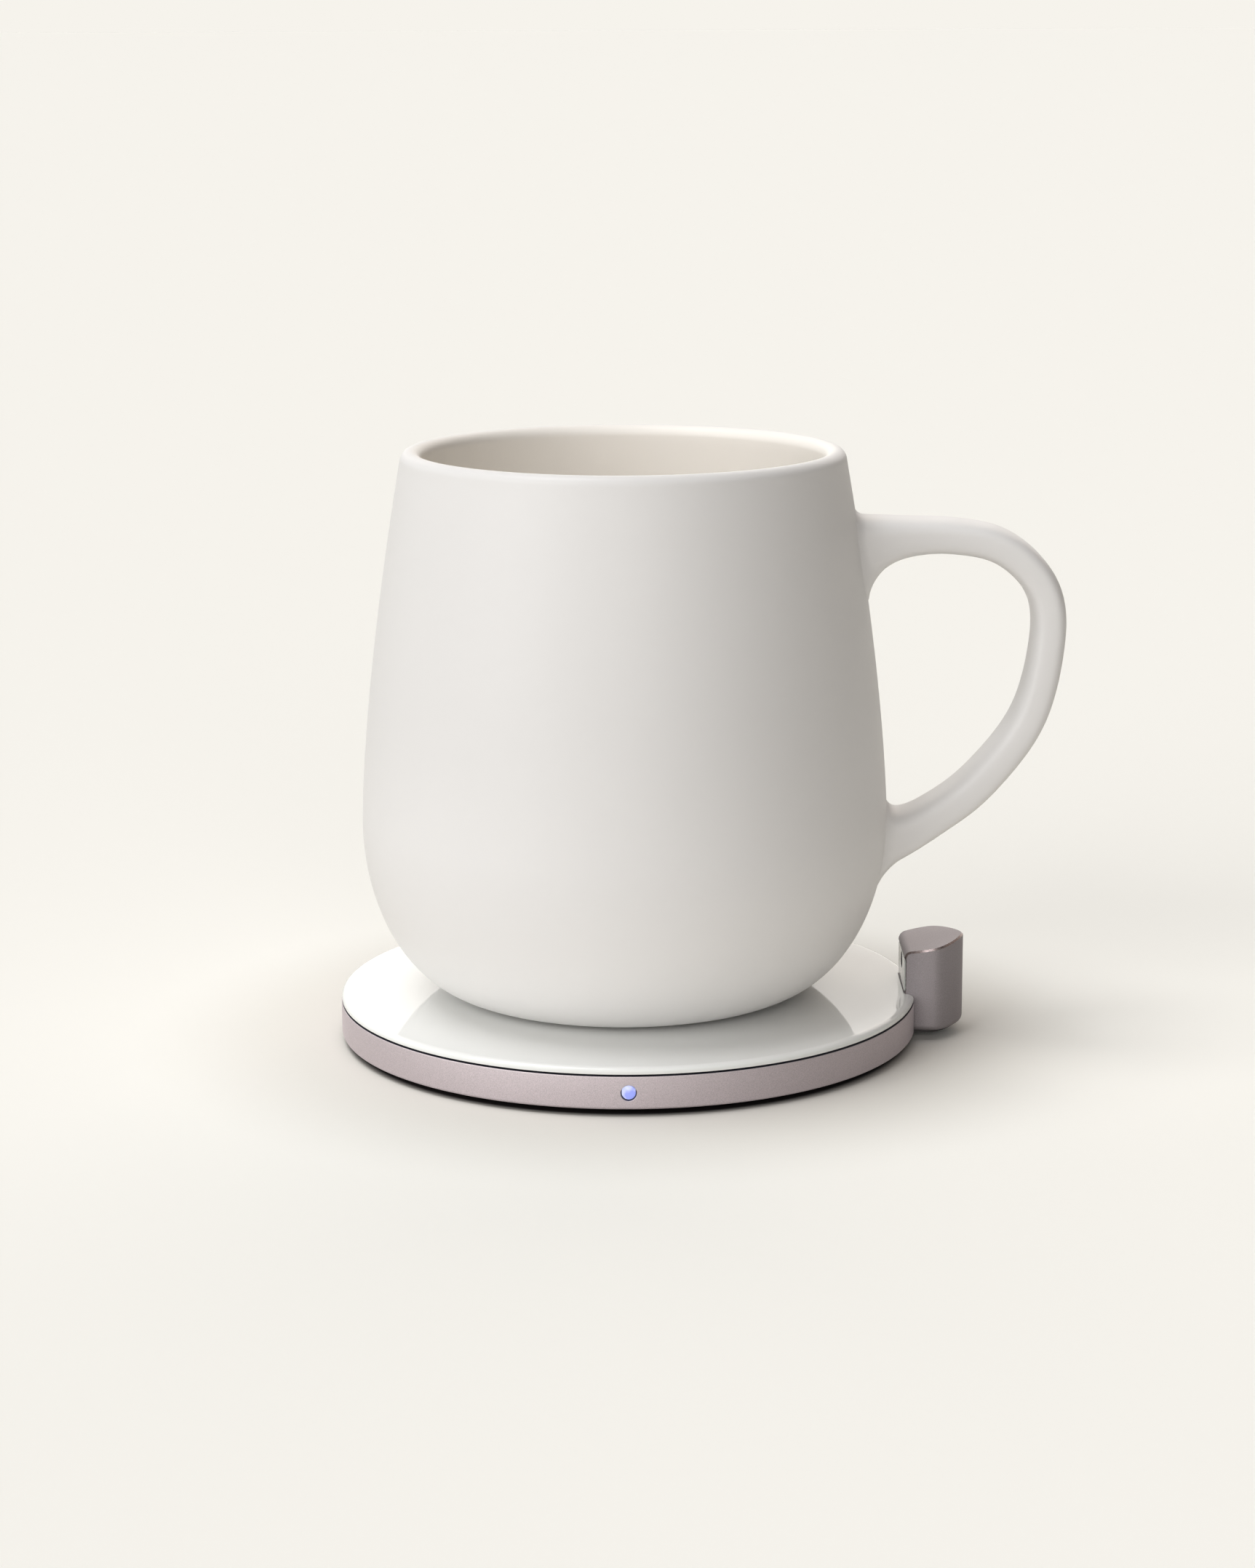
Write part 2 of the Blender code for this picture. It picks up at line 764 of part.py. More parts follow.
def make_base():
    """Foot, bottom cover with a lug that carries the tower, and the screws."""
    foot = disc_profile(foot_radius, 0.0, foot_thickness, foot_edge)
    turned("foot_pad", foot, grey_silicone, closed=False)
    profile = disc_profile(ring_inner - side_gap, ring_low, cover_high)
    cover = turned("bottom_cover", profile, dark_plastic, closed=False)
    apply_boolean(cover, notch_cutter("cover_notch", ring_low, cover_high))
    inset = -tower_wall - side_gap
    lug = prism("cover_lug_form", tower_outline(inset, inset), ring_low, cover_high, None, helper=True)
    neck_start = tower_face - notch_gap - neck_overlap
    neck_end = tower_face + tower_wall + neck_overlap
    neck = block(
        "cover_neck_form",
        (neck_start, -neck_half_width, ring_low),
        (neck_end, neck_half_width, cover_high),
        None,
        helper=True,
    )
    apply_boolean(cover, lug, "UNION")
    apply_boolean(cover, neck, "UNION")
    posts = [on_circle(post_circle, angle) for angle in (60, 150, 240, 330)]
    for i, spot in enumerate(posts):
        post = cylinder(
            f"post_form_{i + 1}",
            post_radius,
            cover_high - post_height,
            cover_high + post_height,
            None,
            spot,
            12,
            helper=True,
        )
        apply_boolean(cover, post, "UNION")
    low = ring_low + screw_recess
    for i, angle in enumerate(screw_angles()):
        spot = on_circle(screw_circle, angle)
        apply_boolean(cover, screw_seat(f"screw_seat_{i + 1}", spot))
        make_screw(f"cover_screw_{i + 1}", spot, low, screw_length)
    for i, spot in enumerate(tower_screw_spots()):
        apply_boolean(cover, screw_seat(f"tower_screw_seat_{i + 1}", spot, tower_screw_share))
        make_screw(f"tower_screw_{i + 1}", spot, low, tower_screw_length, tower_screw_share)


def make_pad_inside():
    """Circuit board, coil and its carrier, and the parts on the board."""
    board = disc_profile(board_radius, board_low, board_high)
    turned("main_board", board, board_green, closed=False, steps=wide_steps // 2)
    rim_inner = carrier_radius - carrier_rim
    floor_high = carrier_low + carrier_floor
    rim_high = floor_high + carrier_rim_height
    carrier = [
        (0.0, floor_high),
        (rim_inner, floor_high),
        (rim_inner, rim_high),
        (carrier_radius, rim_high),
        (carrier_radius, carrier_low),
        (0.0, carrier_low),
    ]
    turned("coil_carrier", carrier, dark_plastic, closed=False, steps=wide_steps // 2)
    plate = disc_profile(rim_inner - side_gap, ferrite_low, ferrite_low + ferrite_thickness)
    turned("ferrite_plate", plate, ferrite, closed=False, steps=wide_steps // 2)
    wire_coil(
        "transmit_coil", coil_inner_radius, coil_pitch, coil_turns, coil_wire_radius, coil_low, copper
    )
    bead = disc_profile(sensor_bead_radius, coil_low, coil_low + sensor_bead_height, glass_edge / 2)
    turned("temperature_sensor", bead, chip_black, closed=False, steps=narrow_steps)
    on_board("control_chip", 180, chip_side, chip_side, chip_height, chip_black)
    on_board("driver_chip", 205, driver_side, driver_side, chip_height, chip_black)
    for i, angle in enumerate((100, 114, 128)):
        on_board(
            f"resonant_capacitor_{i + 1}",
            angle,
            capacitor_width,
            capacitor_length,
            capacitor_height,
            ceramic_tan,
        )
    spot = on_circle(part_circle, 235)
    low = board_high + seat_gap
    choke = disc_profile(choke_radius, low, low + choke_height, glass_edge / 2)
    turned("choke", choke, ferrite, closed=False, steps=narrow_steps, place=(*spot, 0.0))


def on_board(name, angle, across, along, height, material):
    """A square part on the main board, turned to face the board's centre."""
    low = board_high + seat_gap
    part = block(
        name,
        (-along / 2, -across / 2, low),
        (along / 2, across / 2, low + height),
        material,
        height / 6,
    )
    spot = on_circle(part_circle, angle)
    part.location.x = spot[0]
    part.location.y = spot[1]
    part.rotation_euler.z = math.radians(angle)


def make_light():
    """The light pipe that shows in the ring's front, and the light behind it on the board."""
    front = pad_radius - light_recess
    back = board_radius + seat_gap
    pipe = lying_cylinder(
        "light_pipe",
        light_radius,
        (0.0, -front, light_height),
        (0.0, -back, light_height),
        lit_plastic,
        "Y",
    )
    round_edges(pipe, light_edge, segments=1)
    low = board_high + seat_gap
    block(
        "indicator_led",
        (-led_width / 2, -board_radius, low),
        (led_width / 2, led_depth - board_radius, low + led_height),
        lit_plastic,
        light_edge,
    )


def tower_rings():
    """Rings of the tower's skin, from its rounded foot to the edge of its sloping top."""
    rings = []
    for step in range(4):
        angle = math.radians(90 * step / 3)
        inset = -tower_foot_round * (1 - math.sin(angle))
        level = tower_low + tower_foot_round * (1 - math.cos(angle))
        rings.append([(x, y, level) for x, y in tower_outline(inset, inset)])
    for step in range(5):
        angle = math.radians(90 * step / 4)
        into = 1 - math.cos(angle)
        down = 1 - math.sin(angle)
        outline = tower_outline(-tower_face_round * into, -tower_side_round * into)
        ring = []
        for x, y in outline:
            away = min(max((x - tower_face) / tower_round_reach, 0.0), 1.0)
            fall = down * (tower_face_round + (tower_side_round - tower_face_round) * away)
            ring.append((x, y, tower_top(x, fall)))
        rings.append(ring)
    return rings


def make_tower():
    """The hollow tower with its bosses, window opening, doorway to the pad and inlet hole."""
    tower = loft("tower_housing", tower_rings(), aluminium)
    hollow = prism(
        "tower_hollow",
        tower_outline(-tower_wall, -tower_wall),
        tower_low - cutter_overrun,
        lambda x, y: tower_top(x, tower_wall),
        None,
        helper=True,
    )
    apply_boolean(tower, hollow)
    boss_low = cover_high + seat_gap
    hole_top = ring_low + screw_recess + tower_screw_length + seat_gap
    for i, spot in enumerate(tower_screw_spots()):
        boss_top = tower_top(spot[0], tower_wall / 2)
        boss = cylinder(f"boss_form_{i + 1}", boss_radius, boss_low, boss_top, None, spot, 16, helper=True)
        apply_boolean(tower, boss, "UNION")
        hole = cylinder(
            f"boss_hole_{i + 1}",
            screw_shank_radius * tower_screw_share + side_gap,
            boss_low - cutter_overrun,
            hole_top,
            None,
            spot,
            12,
            helper=True,
        )
        apply_boolean(tower, hole)
    opening = block(
        "window_opening",
        (tower_face - cutter_overrun, -window_half_width - side_gap, window_low - side_gap),
        (tower_face + tower_wall + side_gap, window_half_width + side_gap, window_high + side_gap),
        None,
        helper=True,
    )
    doorway = block(
        "doorway_cutter",
        (tower_face - cutter_overrun, -neck_half_width - side_gap, tower_low - cutter_overrun),
        (tower_face + tower_wall + side_gap, neck_half_width + side_gap, ring_low + doorway_height),
        None,
        helper=True,
    )
    port = inlet_form("port_cutter", side_gap, 0.0, tower_half_width + cutter_overrun, helper=True)
    apply_boolean(tower, opening)
    apply_boolean(tower, doorway)
    apply_boolean(tower, port)


def inlet_form(name, grow, back, front, material=None, helper=False):
    """An upright bar with round ends along Y, from back to front, as large as the inlet plus grow."""
    half = inlet_width / 2 + grow
    straight = inlet_length / 2 - inlet_width / 2
    outline = arc(inlet_x, inlet_height + straight, half, half, 0, 180, 7)
    outline += arc(inlet_x, inlet_height - straight, half, half, 180, 360, 7)
    rings = [[(x, y, z) for x, z in outline] for y in (back, front)]
    return loft(name, rings, material, helper=helper)


def make_inlet():
    front = tower_half_width - inlet_set_back
    back = front - inlet_depth
    shell = inlet_form("usb_shell", 0.0, back, front, steel)
    inside = inlet_form(
        "shell_hollow", -inlet_sheet, back + inlet_sheet, front + cutter_overrun, helper=True
    )
    apply_boolean(shell, inside)
    root_low = back + inlet_sheet + side_gap
    root_high = root_low + tongue_root
    tongue = inlet_form("usb_tongue", -inlet_sheet - side_gap, root_low, root_high, dark_plastic)
    blade = block(
        "tongue_form",
        (inlet_x - tongue_thickness / 2, root_low + tongue_root / 2, inlet_height - tongue_length / 2),
        (inlet_x + tongue_thickness / 2, root_low + tongue_depth, inlet_height + tongue_length / 2),
        None,
        helper=True,
    )
    apply_boolean(tongue, blade, "UNION")


def make_tower_inside():
    """Window, its dark lens and the sensor behind it, the tower's board and the ribbon to the pad."""
    face = tower_face + window_recess
    window = block(
        "sensor_window",
        (face, -window_half_width, window_low),
        (face + window_thickness, window_half_width, window_high),
        window_plastic,
        window_edge,
    )
    lens_hole = lying_cylinder(
        "lens_hole",
        lens_radius + side_gap / 2,
        (face - cutter_overrun, 0.0, lens_height),
        (face + window_thickness + cutter_overrun, 0.0, lens_height),
        None,
        "X",
        helper=True,
    )
    apply_boolean(window, lens_hole)
    lens_front = face + lens_recess
    lying_cylinder(
        "sensor_lens",
        lens_radius,
        (lens_front, 0.0, lens_height),
        (lens_front + lens_thickness, 0.0, lens_height),
        chip_black,
        "X",
    )
    eye_front = face + window_thickness + seat_gap
    block(
        "mug_sensor",
        (eye_front, -eye_half_width, lens_height - eye_half_width),
        (eye_front + eye_depth, eye_half_width, lens_height + eye_half_width),
        chip_black,
        window_edge,
    )
    board_face = inlet_x + inlet_width / 2 + seat_gap
    block(
        "tower_board",
        (board_face, -tower_board_half_width, cover_high + seat_gap),
        (board_face + tower_board_thickness, tower_board_half_width, tower_board_top),
        board_green,
    )
    ribbon_low = cover_high + seat_gap
    block(
        "tower_ribbon",
        (board_radius + seat_gap, -ribbon_width / 2, ribbon_low),
        (board_face - seat_gap, ribbon_width / 2, ribbon_low + ribbon_thickness),
        film_amber,
    )


make_base()
make_ring()
make_pad_inside()
make_light()
make_glass()
make_tower()
make_tower_inside()
make_inlet()
make_heater()
make_mug_body()
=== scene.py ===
"""The looks of a self-heating mug on its charging pad.

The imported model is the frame. Finer meshes stand for the pieces that show, every piece gets a procedural
finish, and the camera stands where the photograph's camera stood. Units are metres and +Z is up.
"""

import json
import math

import bmesh
import bpy
from mathutils import Matrix, Vector


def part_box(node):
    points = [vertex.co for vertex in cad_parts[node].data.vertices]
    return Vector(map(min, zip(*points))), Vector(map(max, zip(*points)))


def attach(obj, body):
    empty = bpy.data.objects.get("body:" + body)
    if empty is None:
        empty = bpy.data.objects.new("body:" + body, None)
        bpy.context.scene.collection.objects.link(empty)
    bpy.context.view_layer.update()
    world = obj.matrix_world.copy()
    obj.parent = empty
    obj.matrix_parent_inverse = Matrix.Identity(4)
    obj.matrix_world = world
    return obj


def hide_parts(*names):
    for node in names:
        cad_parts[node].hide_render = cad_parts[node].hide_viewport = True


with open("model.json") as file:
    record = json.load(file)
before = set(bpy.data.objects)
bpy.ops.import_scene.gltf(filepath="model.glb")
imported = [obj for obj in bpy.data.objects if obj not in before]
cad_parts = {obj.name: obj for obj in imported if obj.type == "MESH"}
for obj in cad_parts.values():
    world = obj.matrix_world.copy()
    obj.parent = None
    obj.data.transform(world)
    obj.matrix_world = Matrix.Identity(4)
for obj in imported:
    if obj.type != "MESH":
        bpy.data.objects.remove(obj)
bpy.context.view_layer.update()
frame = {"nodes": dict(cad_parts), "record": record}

# Clearances, as in the solids
side_gap = 0.0003
notch_gap = 0.0003
cutter_overrun = 0.002

# Pad
pad_radius = 0.0500
ring_wall = 0.0016
ring_rim_width = 0.0011
ring_edge = 0.00015
ring_foot_edge = 0.00045
ledge_depth = 0.0008
ledge_thickness = 0.0010
ledge_margin = 0.0001
gasket_width = 0.0022
glass_inset = 0.0001
glass_edge = 0.0007
glass_edge_width = 0.0011
glass_under_edge = 0.00015
glass_corner = 0.0003
glass_notch_gap = 0.00007
ring_corner = 0.0002
foot_edge = 0.0003
light_hole_edge = 0.00008
light_inset = 0.00012
light_gap = 0.00018
light_dome = 0.00016
light_dome_power = 2.5

# Tower
tower_side_length = 0.0047
tower_shoulder_length = 0.0040
tower_shoulder_rise = 0.0010
tower_power = 1.5
tower_face_rise = 0.0074
tower_rise = 0.0018
tower_face_round = 0.0014
tower_chamfer = 0.00032
tower_foot_round = 0.0010
tower_foot_inset = 0.0005
tower_wall = 0.0010
window_round = 0.0005
window_edge = 0.00012
lens_dome = 0.00012
doorway_top = 0.0036
neck_half_width = 0.0055
weld_distance = 0.000001

# Inlet in the tower's back
port_edge = 0.00015
shell_sheet = 0.0003
shell_lip = shell_sheet / 3
tongue_half_thickness = 0.00035
tongue_half_length = 0.00335
tongue_root_depth = 0.0010
tongue_point = 0.00012
contact_pitch = 0.0005
contact_width = 0.00025
contact_rise = 0.00003
contacts_a_side = 12

# Mug
mug_shift = -0.0005
mug_foot_radius = 0.0260
mug_belly_radius = 0.0452
mug_belly_height = 0.0298
mug_rim_radius = 0.0378
mug_wall = 0.0036
mug_taper_power = 1.5
# Angle by which the lip's round leans with the wall
lip_lean = 3
cup_floor_thickness = 0.0029
cup_floor_radius = 0.0160
cup_bowl_top = 0.0340
cap_seat_radius = 0.0240
heater_radius = 0.0220
# Heights over which painted bounce light fades out of the glaze, from full near the foot to gone towards the
# top
painted_bounce_full_height = 0.015
painted_bounce_gone_height = 0.065
# Product of a place's distance from the axis and its facing, outside and inside the cup, between which the
# painted bounce light inside fades in
facing_out = 0.012
facing_in = -0.026

# Handle, the same law as the solid's, with a fillet where it meets the wall
handle_reach = 0.0724
handle_top = 0.07865
handle_bottom = 0.0251
handle_thickness = 0.0058
handle_width = 0.0110
handle_power = 3.4
handle_step = 0.0003
handle_softenings = 60
# From the upper joint to the lower one: the way out, the rise, the thickness and the width
handle_shares = (
    (-0.06, 0.958, 2.15, 1.14),
    (0.055, 0.975, 1.72, 1.09),
    (0.15, 0.991, 1.33, 1.04),
    (0.30, 1.00, 1.07, 1.01),
    (0.48, 1.00, 1.00, 1.00),
    (0.75, 0.965, 1.00, 1.00),
    (0.965, 0.835, 1.00, 1.00),
    (1.00, 0.66, 0.98, 1.00),
    (0.885, 0.408, 1.02, 1.00),
    (0.57, 0.197, 1.07, 1.01),
    (0.26, 0.080, 1.12, 1.04),
    (0.10, 0.038, 1.35, 1.09),
    (-0.065, 0.02, 1.95, 1.15),
)
# Fillet radii on the outer side, beside and on the inner side of the handle, at its two joints
upper_fillet = (0.0014, 0.0012, 0.0042)
lower_fillet = (0.0032, 0.0016, 0.0022)
fillet_stop_share = 0.02

# How finely round shapes are drawn
round_steps = 256
small_steps = 64
curve_steps = 8
bowl_points = 22
inner_rows = 36
lip_points = 19
outer_rows = 56
foot_points = 36
handle_steps = 24
handle_sides = 56
glass_under_points = 4
glass_edge_points = 10
ring_edge_points = 6
foot_edge_points = 5
dome_rows = 8
lens_rows = 6
nose_steps = 36
plan_steps = 16
edge_steps = 10
edge_round_points = 14
tower_foot_steps = 8
window_corner_points = 7
window_edge_points = 5
inlet_round_points = 17

# A normal's part along an axis: below the first a face is a wall round the axis, above the second it faces up
wall_limit = 0.5
level_limit = 0.9

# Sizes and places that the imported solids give
ring_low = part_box("ring_housing")[0].z
ring_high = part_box("ring_housing")[1].z
glass_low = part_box("glass_top")[0].z
glass_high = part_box("glass_top")[1].z
mug_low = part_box("mug_body")[0].z
mug_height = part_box("mug_body")[1].z - mug_low
shelf_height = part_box("base_seal")[1].z + side_gap - mug_low
heater_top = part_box("heating_film")[1].z + side_gap - mug_low
tower_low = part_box("tower_housing")[0].z
tower_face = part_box("tower_housing")[0].x
tower_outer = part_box("tower_housing")[1].x
tower_half_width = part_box("tower_housing")[1].y
tower_face_top = glass_high + tower_face_rise
tower_slope = tower_rise / (tower_outer - tower_face)
tower_bend = tower_face + tower_side_length
glass_radius = pad_radius - glass_inset
lip_height = mug_height - mug_wall / 2
light_low, light_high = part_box("light_pipe")
light_radius = (light_high.x - light_low.x) / 2
light_height = (light_low.z + light_high.z) / 2
light_face_radius = light_radius - light_inset


def mesh_piece(name, points, faces, material=None):
    """A new object from points and faces. A face's corners turn left, seen from outside."""
    mesh = bpy.data.meshes.new(name)
    mesh.from_pydata(points, [], faces)
    made = bpy.data.objects.new(name, mesh)
    bpy.context.scene.collection.objects.link(made)
    if material:
        mesh.materials.append(material)
    return made


def smooth(piece, angle=35):
    """Shades smoothly over edges that turn less than the angle."""
    piece.data.shade_smooth()
    piece.data.set_sharp_from_angle(angle=math.radians(angle))


def turned(name, profile, material=None, steps=round_steps, closed=False):
    """A turned body. Its profile of (radius, height) starts and ends on the axis, or closes on itself."""
    points = []
    rows = []
    for radius, height in profile:
        if radius == 0.0:
            rows.append([len(points)] * steps)
            points.append((0.0, 0.0, height))
            continue
        row = []
        for step in range(steps):
            angle = math.tau * step / steps
            row.append(len(points))
            points.append((radius * math.cos(angle), radius * math.sin(angle), height))
        rows.append(row)
    if closed:
        rows.append(rows[0])
    faces = []
    for upper, lower in zip(rows, rows[1:]):
        for step in range(steps):
            following = (step + 1) % steps
            corners = [upper[step], lower[step], lower[following], upper[following]]
            face = list(dict.fromkeys(corners))
            if len(face) > 2:
                faces.append(face)
    return mesh_piece(name, points, faces, material)


def ring_walls(rings):
    """Points and faces that skin rings of equal count, closed at the first and open at the last."""
    count = len(rings[0])
    points = [tuple(point) for ring in rings for point in ring]
    faces = [list(reversed(range(count)))]
    for row in range(len(rings) - 1):
        here = row * count
        above = here + count
        for i in range(count):
            j = (i + 1) % count
            faces.append([here + i, here + j, above + j, above + i])
    return points, faces


def loft(name, rings, material=None):
    """Skins rings of equal count, the lowest or first one turning left, and closes both ends."""
    points, faces = ring_walls(rings)
    faces.append(list(range(len(points) - len(rings[0]), len(points))))
    return mesh_piece(name, points, faces, material)


def block(name, low, high):
    outline = [(low[0], low[1]), (high[0], low[1]), (high[0], high[1]), (low[0], high[1])]
    return loft(name, [[(x, y, z) for x, y in outline] for z in (low[2], high[2])])


def combine(piece, other, operation="DIFFERENCE"):
    """Cuts or joins at once, and removes the other object."""
    modifier = piece.modifiers.new("combine", "BOOLEAN")
    modifier.operation = operation
    modifier.solver = "EXACT"
    modifier.object = other
    graph = bpy.context.evaluated_depsgraph_get()
    made = bpy.data.meshes.new_from_object(piece.evaluated_get(graph))
    piece.modifiers.clear()
    piece.data = made
    bpy.data.objects.remove(other, do_unlink=True)


def show(piece, body, slot, *nodes):
    """Puts a finished piece in the model: its body, and hides what it stands for. The slot is not used."""
    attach(piece, body)
    if nodes:
        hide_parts(*nodes)


def arc(centre_x, centre_y, radius_x, radius_y, start, end, count):
    """Points from angle start to angle end, in degrees, both ends included."""
    points = []
    for i in range(count):
        angle = math.radians(start + (end - start) * i / (count - 1))
        points.append((centre_x + radius_x * math.cos(angle), centre_y + radius_y * math.sin(angle)))
    return points


def offset(outline, inset):
    """The outline, which turns left, moved inwards by the inset, or up to twice that at a corner."""
    count = len(outline)
    moved = []
    for i in range(count):
        before = Vector(outline[i - 1])
        here = Vector(outline[i])
        after = Vector(outline[(i + 1) % count])
        first = (here - before).normalized()
        second = (after - here).normalized()
        inwards = Vector((-first.y - second.y, first.x + second.x)).normalized()
        reach = inset / max(inwards.dot(Vector((-first.y, first.x))), 0.5)
        moved.append(tuple(here + inwards * reach))
    return moved


# Finishes


def new_finish(name, colour, roughness, metallic=0.0, specular=0.5):
    """A material with its constants on the shader's own sockets. Returns it with its shader and tree."""
    made = bpy.data.materials.new(name)
    made.use_nodes = True
    tree = made.node_tree
    shader = tree.nodes["Principled BSDF"]
    shader.inputs["Base Color"].default_value = (*colour, 1.0)
    shader.inputs["Roughness"].default_value = roughness
    shader.inputs["Metallic"].default_value = metallic
    shader.inputs["Specular IOR Level"].default_value = specular
    return made, shader, tree


def place_on(tree, kind="Object"):
    return tree.nodes.new("ShaderNodeTexCoord").outputs[kind]


def noise(tree, per_metre, detail=2.0):
    """Noise that is fixed to the piece, with so many swings per metre."""
    made = tree.nodes.new("ShaderNodeTexNoise")
    made.inputs["Scale"].default_value = per_metre
    made.inputs["Detail"].default_value = detail
    tree.links.new(place_on(tree), made.inputs["Vector"])
    return made.outputs["Fac"]


def blend_colours(tree, factor, first, second):
    """Mixes two colours, each of them a constant or a socket."""
    mix = tree.nodes.new("ShaderNodeMix")
    mix.data_type = "RGBA"
    tree.links.new(factor, mix.inputs["Factor"])
    for name, colour in (("A", first), ("B", second)):
        if isinstance(colour, tuple):
            mix.inputs[name].default_value = (*colour, 1.0)
        else:
            tree.links.new(colour, mix.inputs[name])
    return mix.outputs["Result"]


def maths(tree, operation, *values):
    """A Math node of one operation on numbers and sockets."""
    made = tree.nodes.new("ShaderNodeMath")
    made.operation = operation
    for value, socket in zip(values, made.inputs):
        if isinstance(value, float):
            socket.default_value = value
        else:
            tree.links.new(value, socket)
    return made.outputs["Value"]


def split(tree, vector):
    """The X, Y and Z sockets of a vector."""
    made = tree.nodes.new("ShaderNodeSeparateXYZ")
    tree.links.new(vector, made.inputs["Vector"])
    return made.outputs


def length(tree, vector):
    made = tree.nodes.new("ShaderNodeVectorMath")
    made.operation = "LENGTH"
    tree.links.new(vector, made.inputs[0])
    return made.outputs["Value"]


def span(tree, value, low, high, to_low, to_high, curve="LINEAR"):
    made = tree.nodes.new("ShaderNodeMapRange")
    made.interpolation_type = curve
    made.inputs["From Min"].default_value = low
    made.inputs["From Max"].default_value = high
    made.inputs["To Min"].default_value = to_low
    made.inputs["To Max"].default_value = to_high
    tree.links.new(value, made.inputs["Value"])
    return made.outputs["Result"]


def bump(tree, shader, height, distance, strength=1.0):
    made = tree.nodes.new("ShaderNodeBump")
    made.inputs["Strength"].default_value = strength
    made.inputs["Distance"].default_value = distance
    tree.links.new(height, made.inputs["Height"])
    tree.links.new(made.outputs["Normal"], shader.inputs["Normal"])


def shaded(colour, share):
    return tuple(part * share for part in colour)


def plain_finish(name, colour, roughness, metallic=0.0, cloud=0.05, depth=0.00001, specular=0.5):
    """A moulded, cast or plated surface: faint clouds in its colour and gloss, and a fine grain."""
    made, shader, tree = new_finish(name, colour, roughness, metallic, specular)
    clouds = noise(tree, 160)
    tint = blend_colours(tree, clouds, shaded(colour, 1 - cloud), shaded(colour, 1 + cloud))
    tree.links.new(tint, shader.inputs["Base Color"])
    gloss = span(tree, noise(tree, 400), 0.3, 0.7, roughness * 0.9, min(roughness * 1.1, 1.0))
    tree.links.new(gloss, shader.inputs["Roughness"])
    bump(tree, shader, noise(tree, 3000), depth, 0.6)
    return made


def inward_facing(tree):
    """Where the painted bounce light goes: one on the cup's inside, and zero on its outside and on the
    handle.
    """
    centred = tree.nodes.new("ShaderNodeVectorMath")
    centred.operation = "MULTIPLY_ADD"
    centred.inputs[1].default_value = (1.0, 1.0, 0.0)
    centred.inputs[2].default_value = (-mug_shift, 0.0, 0.0)
    tree.links.new(place_on(tree), centred.inputs[0])
    facing = tree.nodes.new("ShaderNodeVectorMath")
    facing.operation = "DOT_PRODUCT"
    tree.links.new(centred.outputs["Vector"], facing.inputs[0])
    tree.links.new(place_on(tree, "Normal"), facing.inputs[1])
    away = length(tree, centred.outputs["Vector"])
    inwards = span(tree, facing.outputs["Value"], facing_out, facing_in, 0.0, 1.0, "SMOOTHSTEP")
    near = span(tree, away, mug_belly_radius - mug_wall, mug_belly_radius, 1.0, 0.0)
    return maths(tree, "MULTIPLY", inwards, near)


def ceramic_finish():
    """Satin white glaze with clouds of gloss, and painted bounce light: paler towards the foot, brighter and
    warmer inside the cup.
    """
    colour = (0.795, 0.786, 0.776)
    made, shader, tree = new_finish("ceramic", colour, 0.46, specular=0.42)
    clouds = noise(tree, 45, 3.0)
    height = split(tree, place_on(tree))["Z"]
    # Painted bounce light: the glaze is paler near the foot and darker towards the top
    darker = span(tree, height, painted_bounce_full_height, painted_bounce_gone_height, 0.0, 0.9, "SMOOTHSTEP")
    clouded = maths(tree, "MULTIPLY_ADD", clouds, 0.15, darker)
    outer = blend_colours(tree, clouded, shaded(colour, 1.105), shaded(colour, 0.97))
    # Painted bounce light: the cup's inside is brighter and warmer than the glaze outside
    inner = blend_colours(tree, clouds, (0.955, 0.92, 0.86), (0.975, 0.94, 0.885))
    tint = blend_colours(tree, inward_facing(tree), outer, inner)
    tree.links.new(tint, shader.inputs["Base Color"])
    gloss = span(tree, noise(tree, 260, 3.0), 0.3, 0.7, 0.42, 0.50)
    tree.links.new(gloss, shader.inputs["Roughness"])
    bump(tree, shader, noise(tree, 900, 3.0), 0.000012, 0.35)
    return made


def glass_finish():
    """Clear glass over a pale print: a pale ground under a polished face, greener at its edge."""
    colour = (0.87, 0.875, 0.855)
    made, shader, tree = new_finish("white_glass", colour, 0.035)
    shader.inputs["IOR"].default_value = 1.5
    facing = tree.nodes.new("ShaderNodeNewGeometry").outputs["Normal"]
    flat = span(tree, split(tree, facing)["Z"], 0.55, 0.98, 0.0, 1.0)
    tint = blend_colours(tree, flat, (0.90, 0.915, 0.89), colour)
    tree.links.new(tint, shader.inputs["Base Color"])
    tree.links.new(span(tree, flat, 0.0, 1.0, 0.15, 0.5), shader.inputs["Specular IOR Level"])
    gloss = span(tree, noise(tree, 90, 3.0), 0.3, 0.7, 0.035, 0.06)
    tree.links.new(gloss, shader.inputs["Roughness"])
    bump(tree, shader, noise(tree, 60), 0.000004, 0.3)
    return made


def metal_finish(name, colour):
    """Aluminium blasted with fine beads and anodised rose grey: a speckle of dark and bright grains."""
    made, shader, tree = new_finish(name, colour, 0.66, 1.0)
    speckle = noise(tree, 8500, 1.0)
    grains = span(tree, speckle, 0.35, 0.65, 0.0, 1.0)
    tint = blend_colours(tree, grains, shaded(colour, 0.86), shaded(colour, 1.15))
    tree.links.new(tint, shader.inputs["Base Color"])
    gloss = span(tree, speckle, 0.3, 0.7, 0.60, 0.72)
    tree.links.new(gloss, shader.inputs["Roughness"])
    bump(tree, shader, noise(tree, 7000, 2.0), 0.00002, 0.45)
    return made


def cut_metal_finish():
    """The bright chamfer, cut after blasting, so it has a faint mottle and no grain."""
    colour = (0.30, 0.25, 0.25)
    made, shader, tree = new_finish("cut_aluminium", colour, 0.28, 1.0)
    mottle = noise(tree, 2600, 1.0)
    tint = blend_colours(tree, mottle, shaded(colour, 0.92), shaded(colour, 1.08))
    tree.links.new(tint, shader.inputs["Base Color"])
    gloss = span(tree, mottle, 0.3, 0.7, 0.24, 0.32)
    tree.links.new(gloss, shader.inputs["Roughness"])
    return made


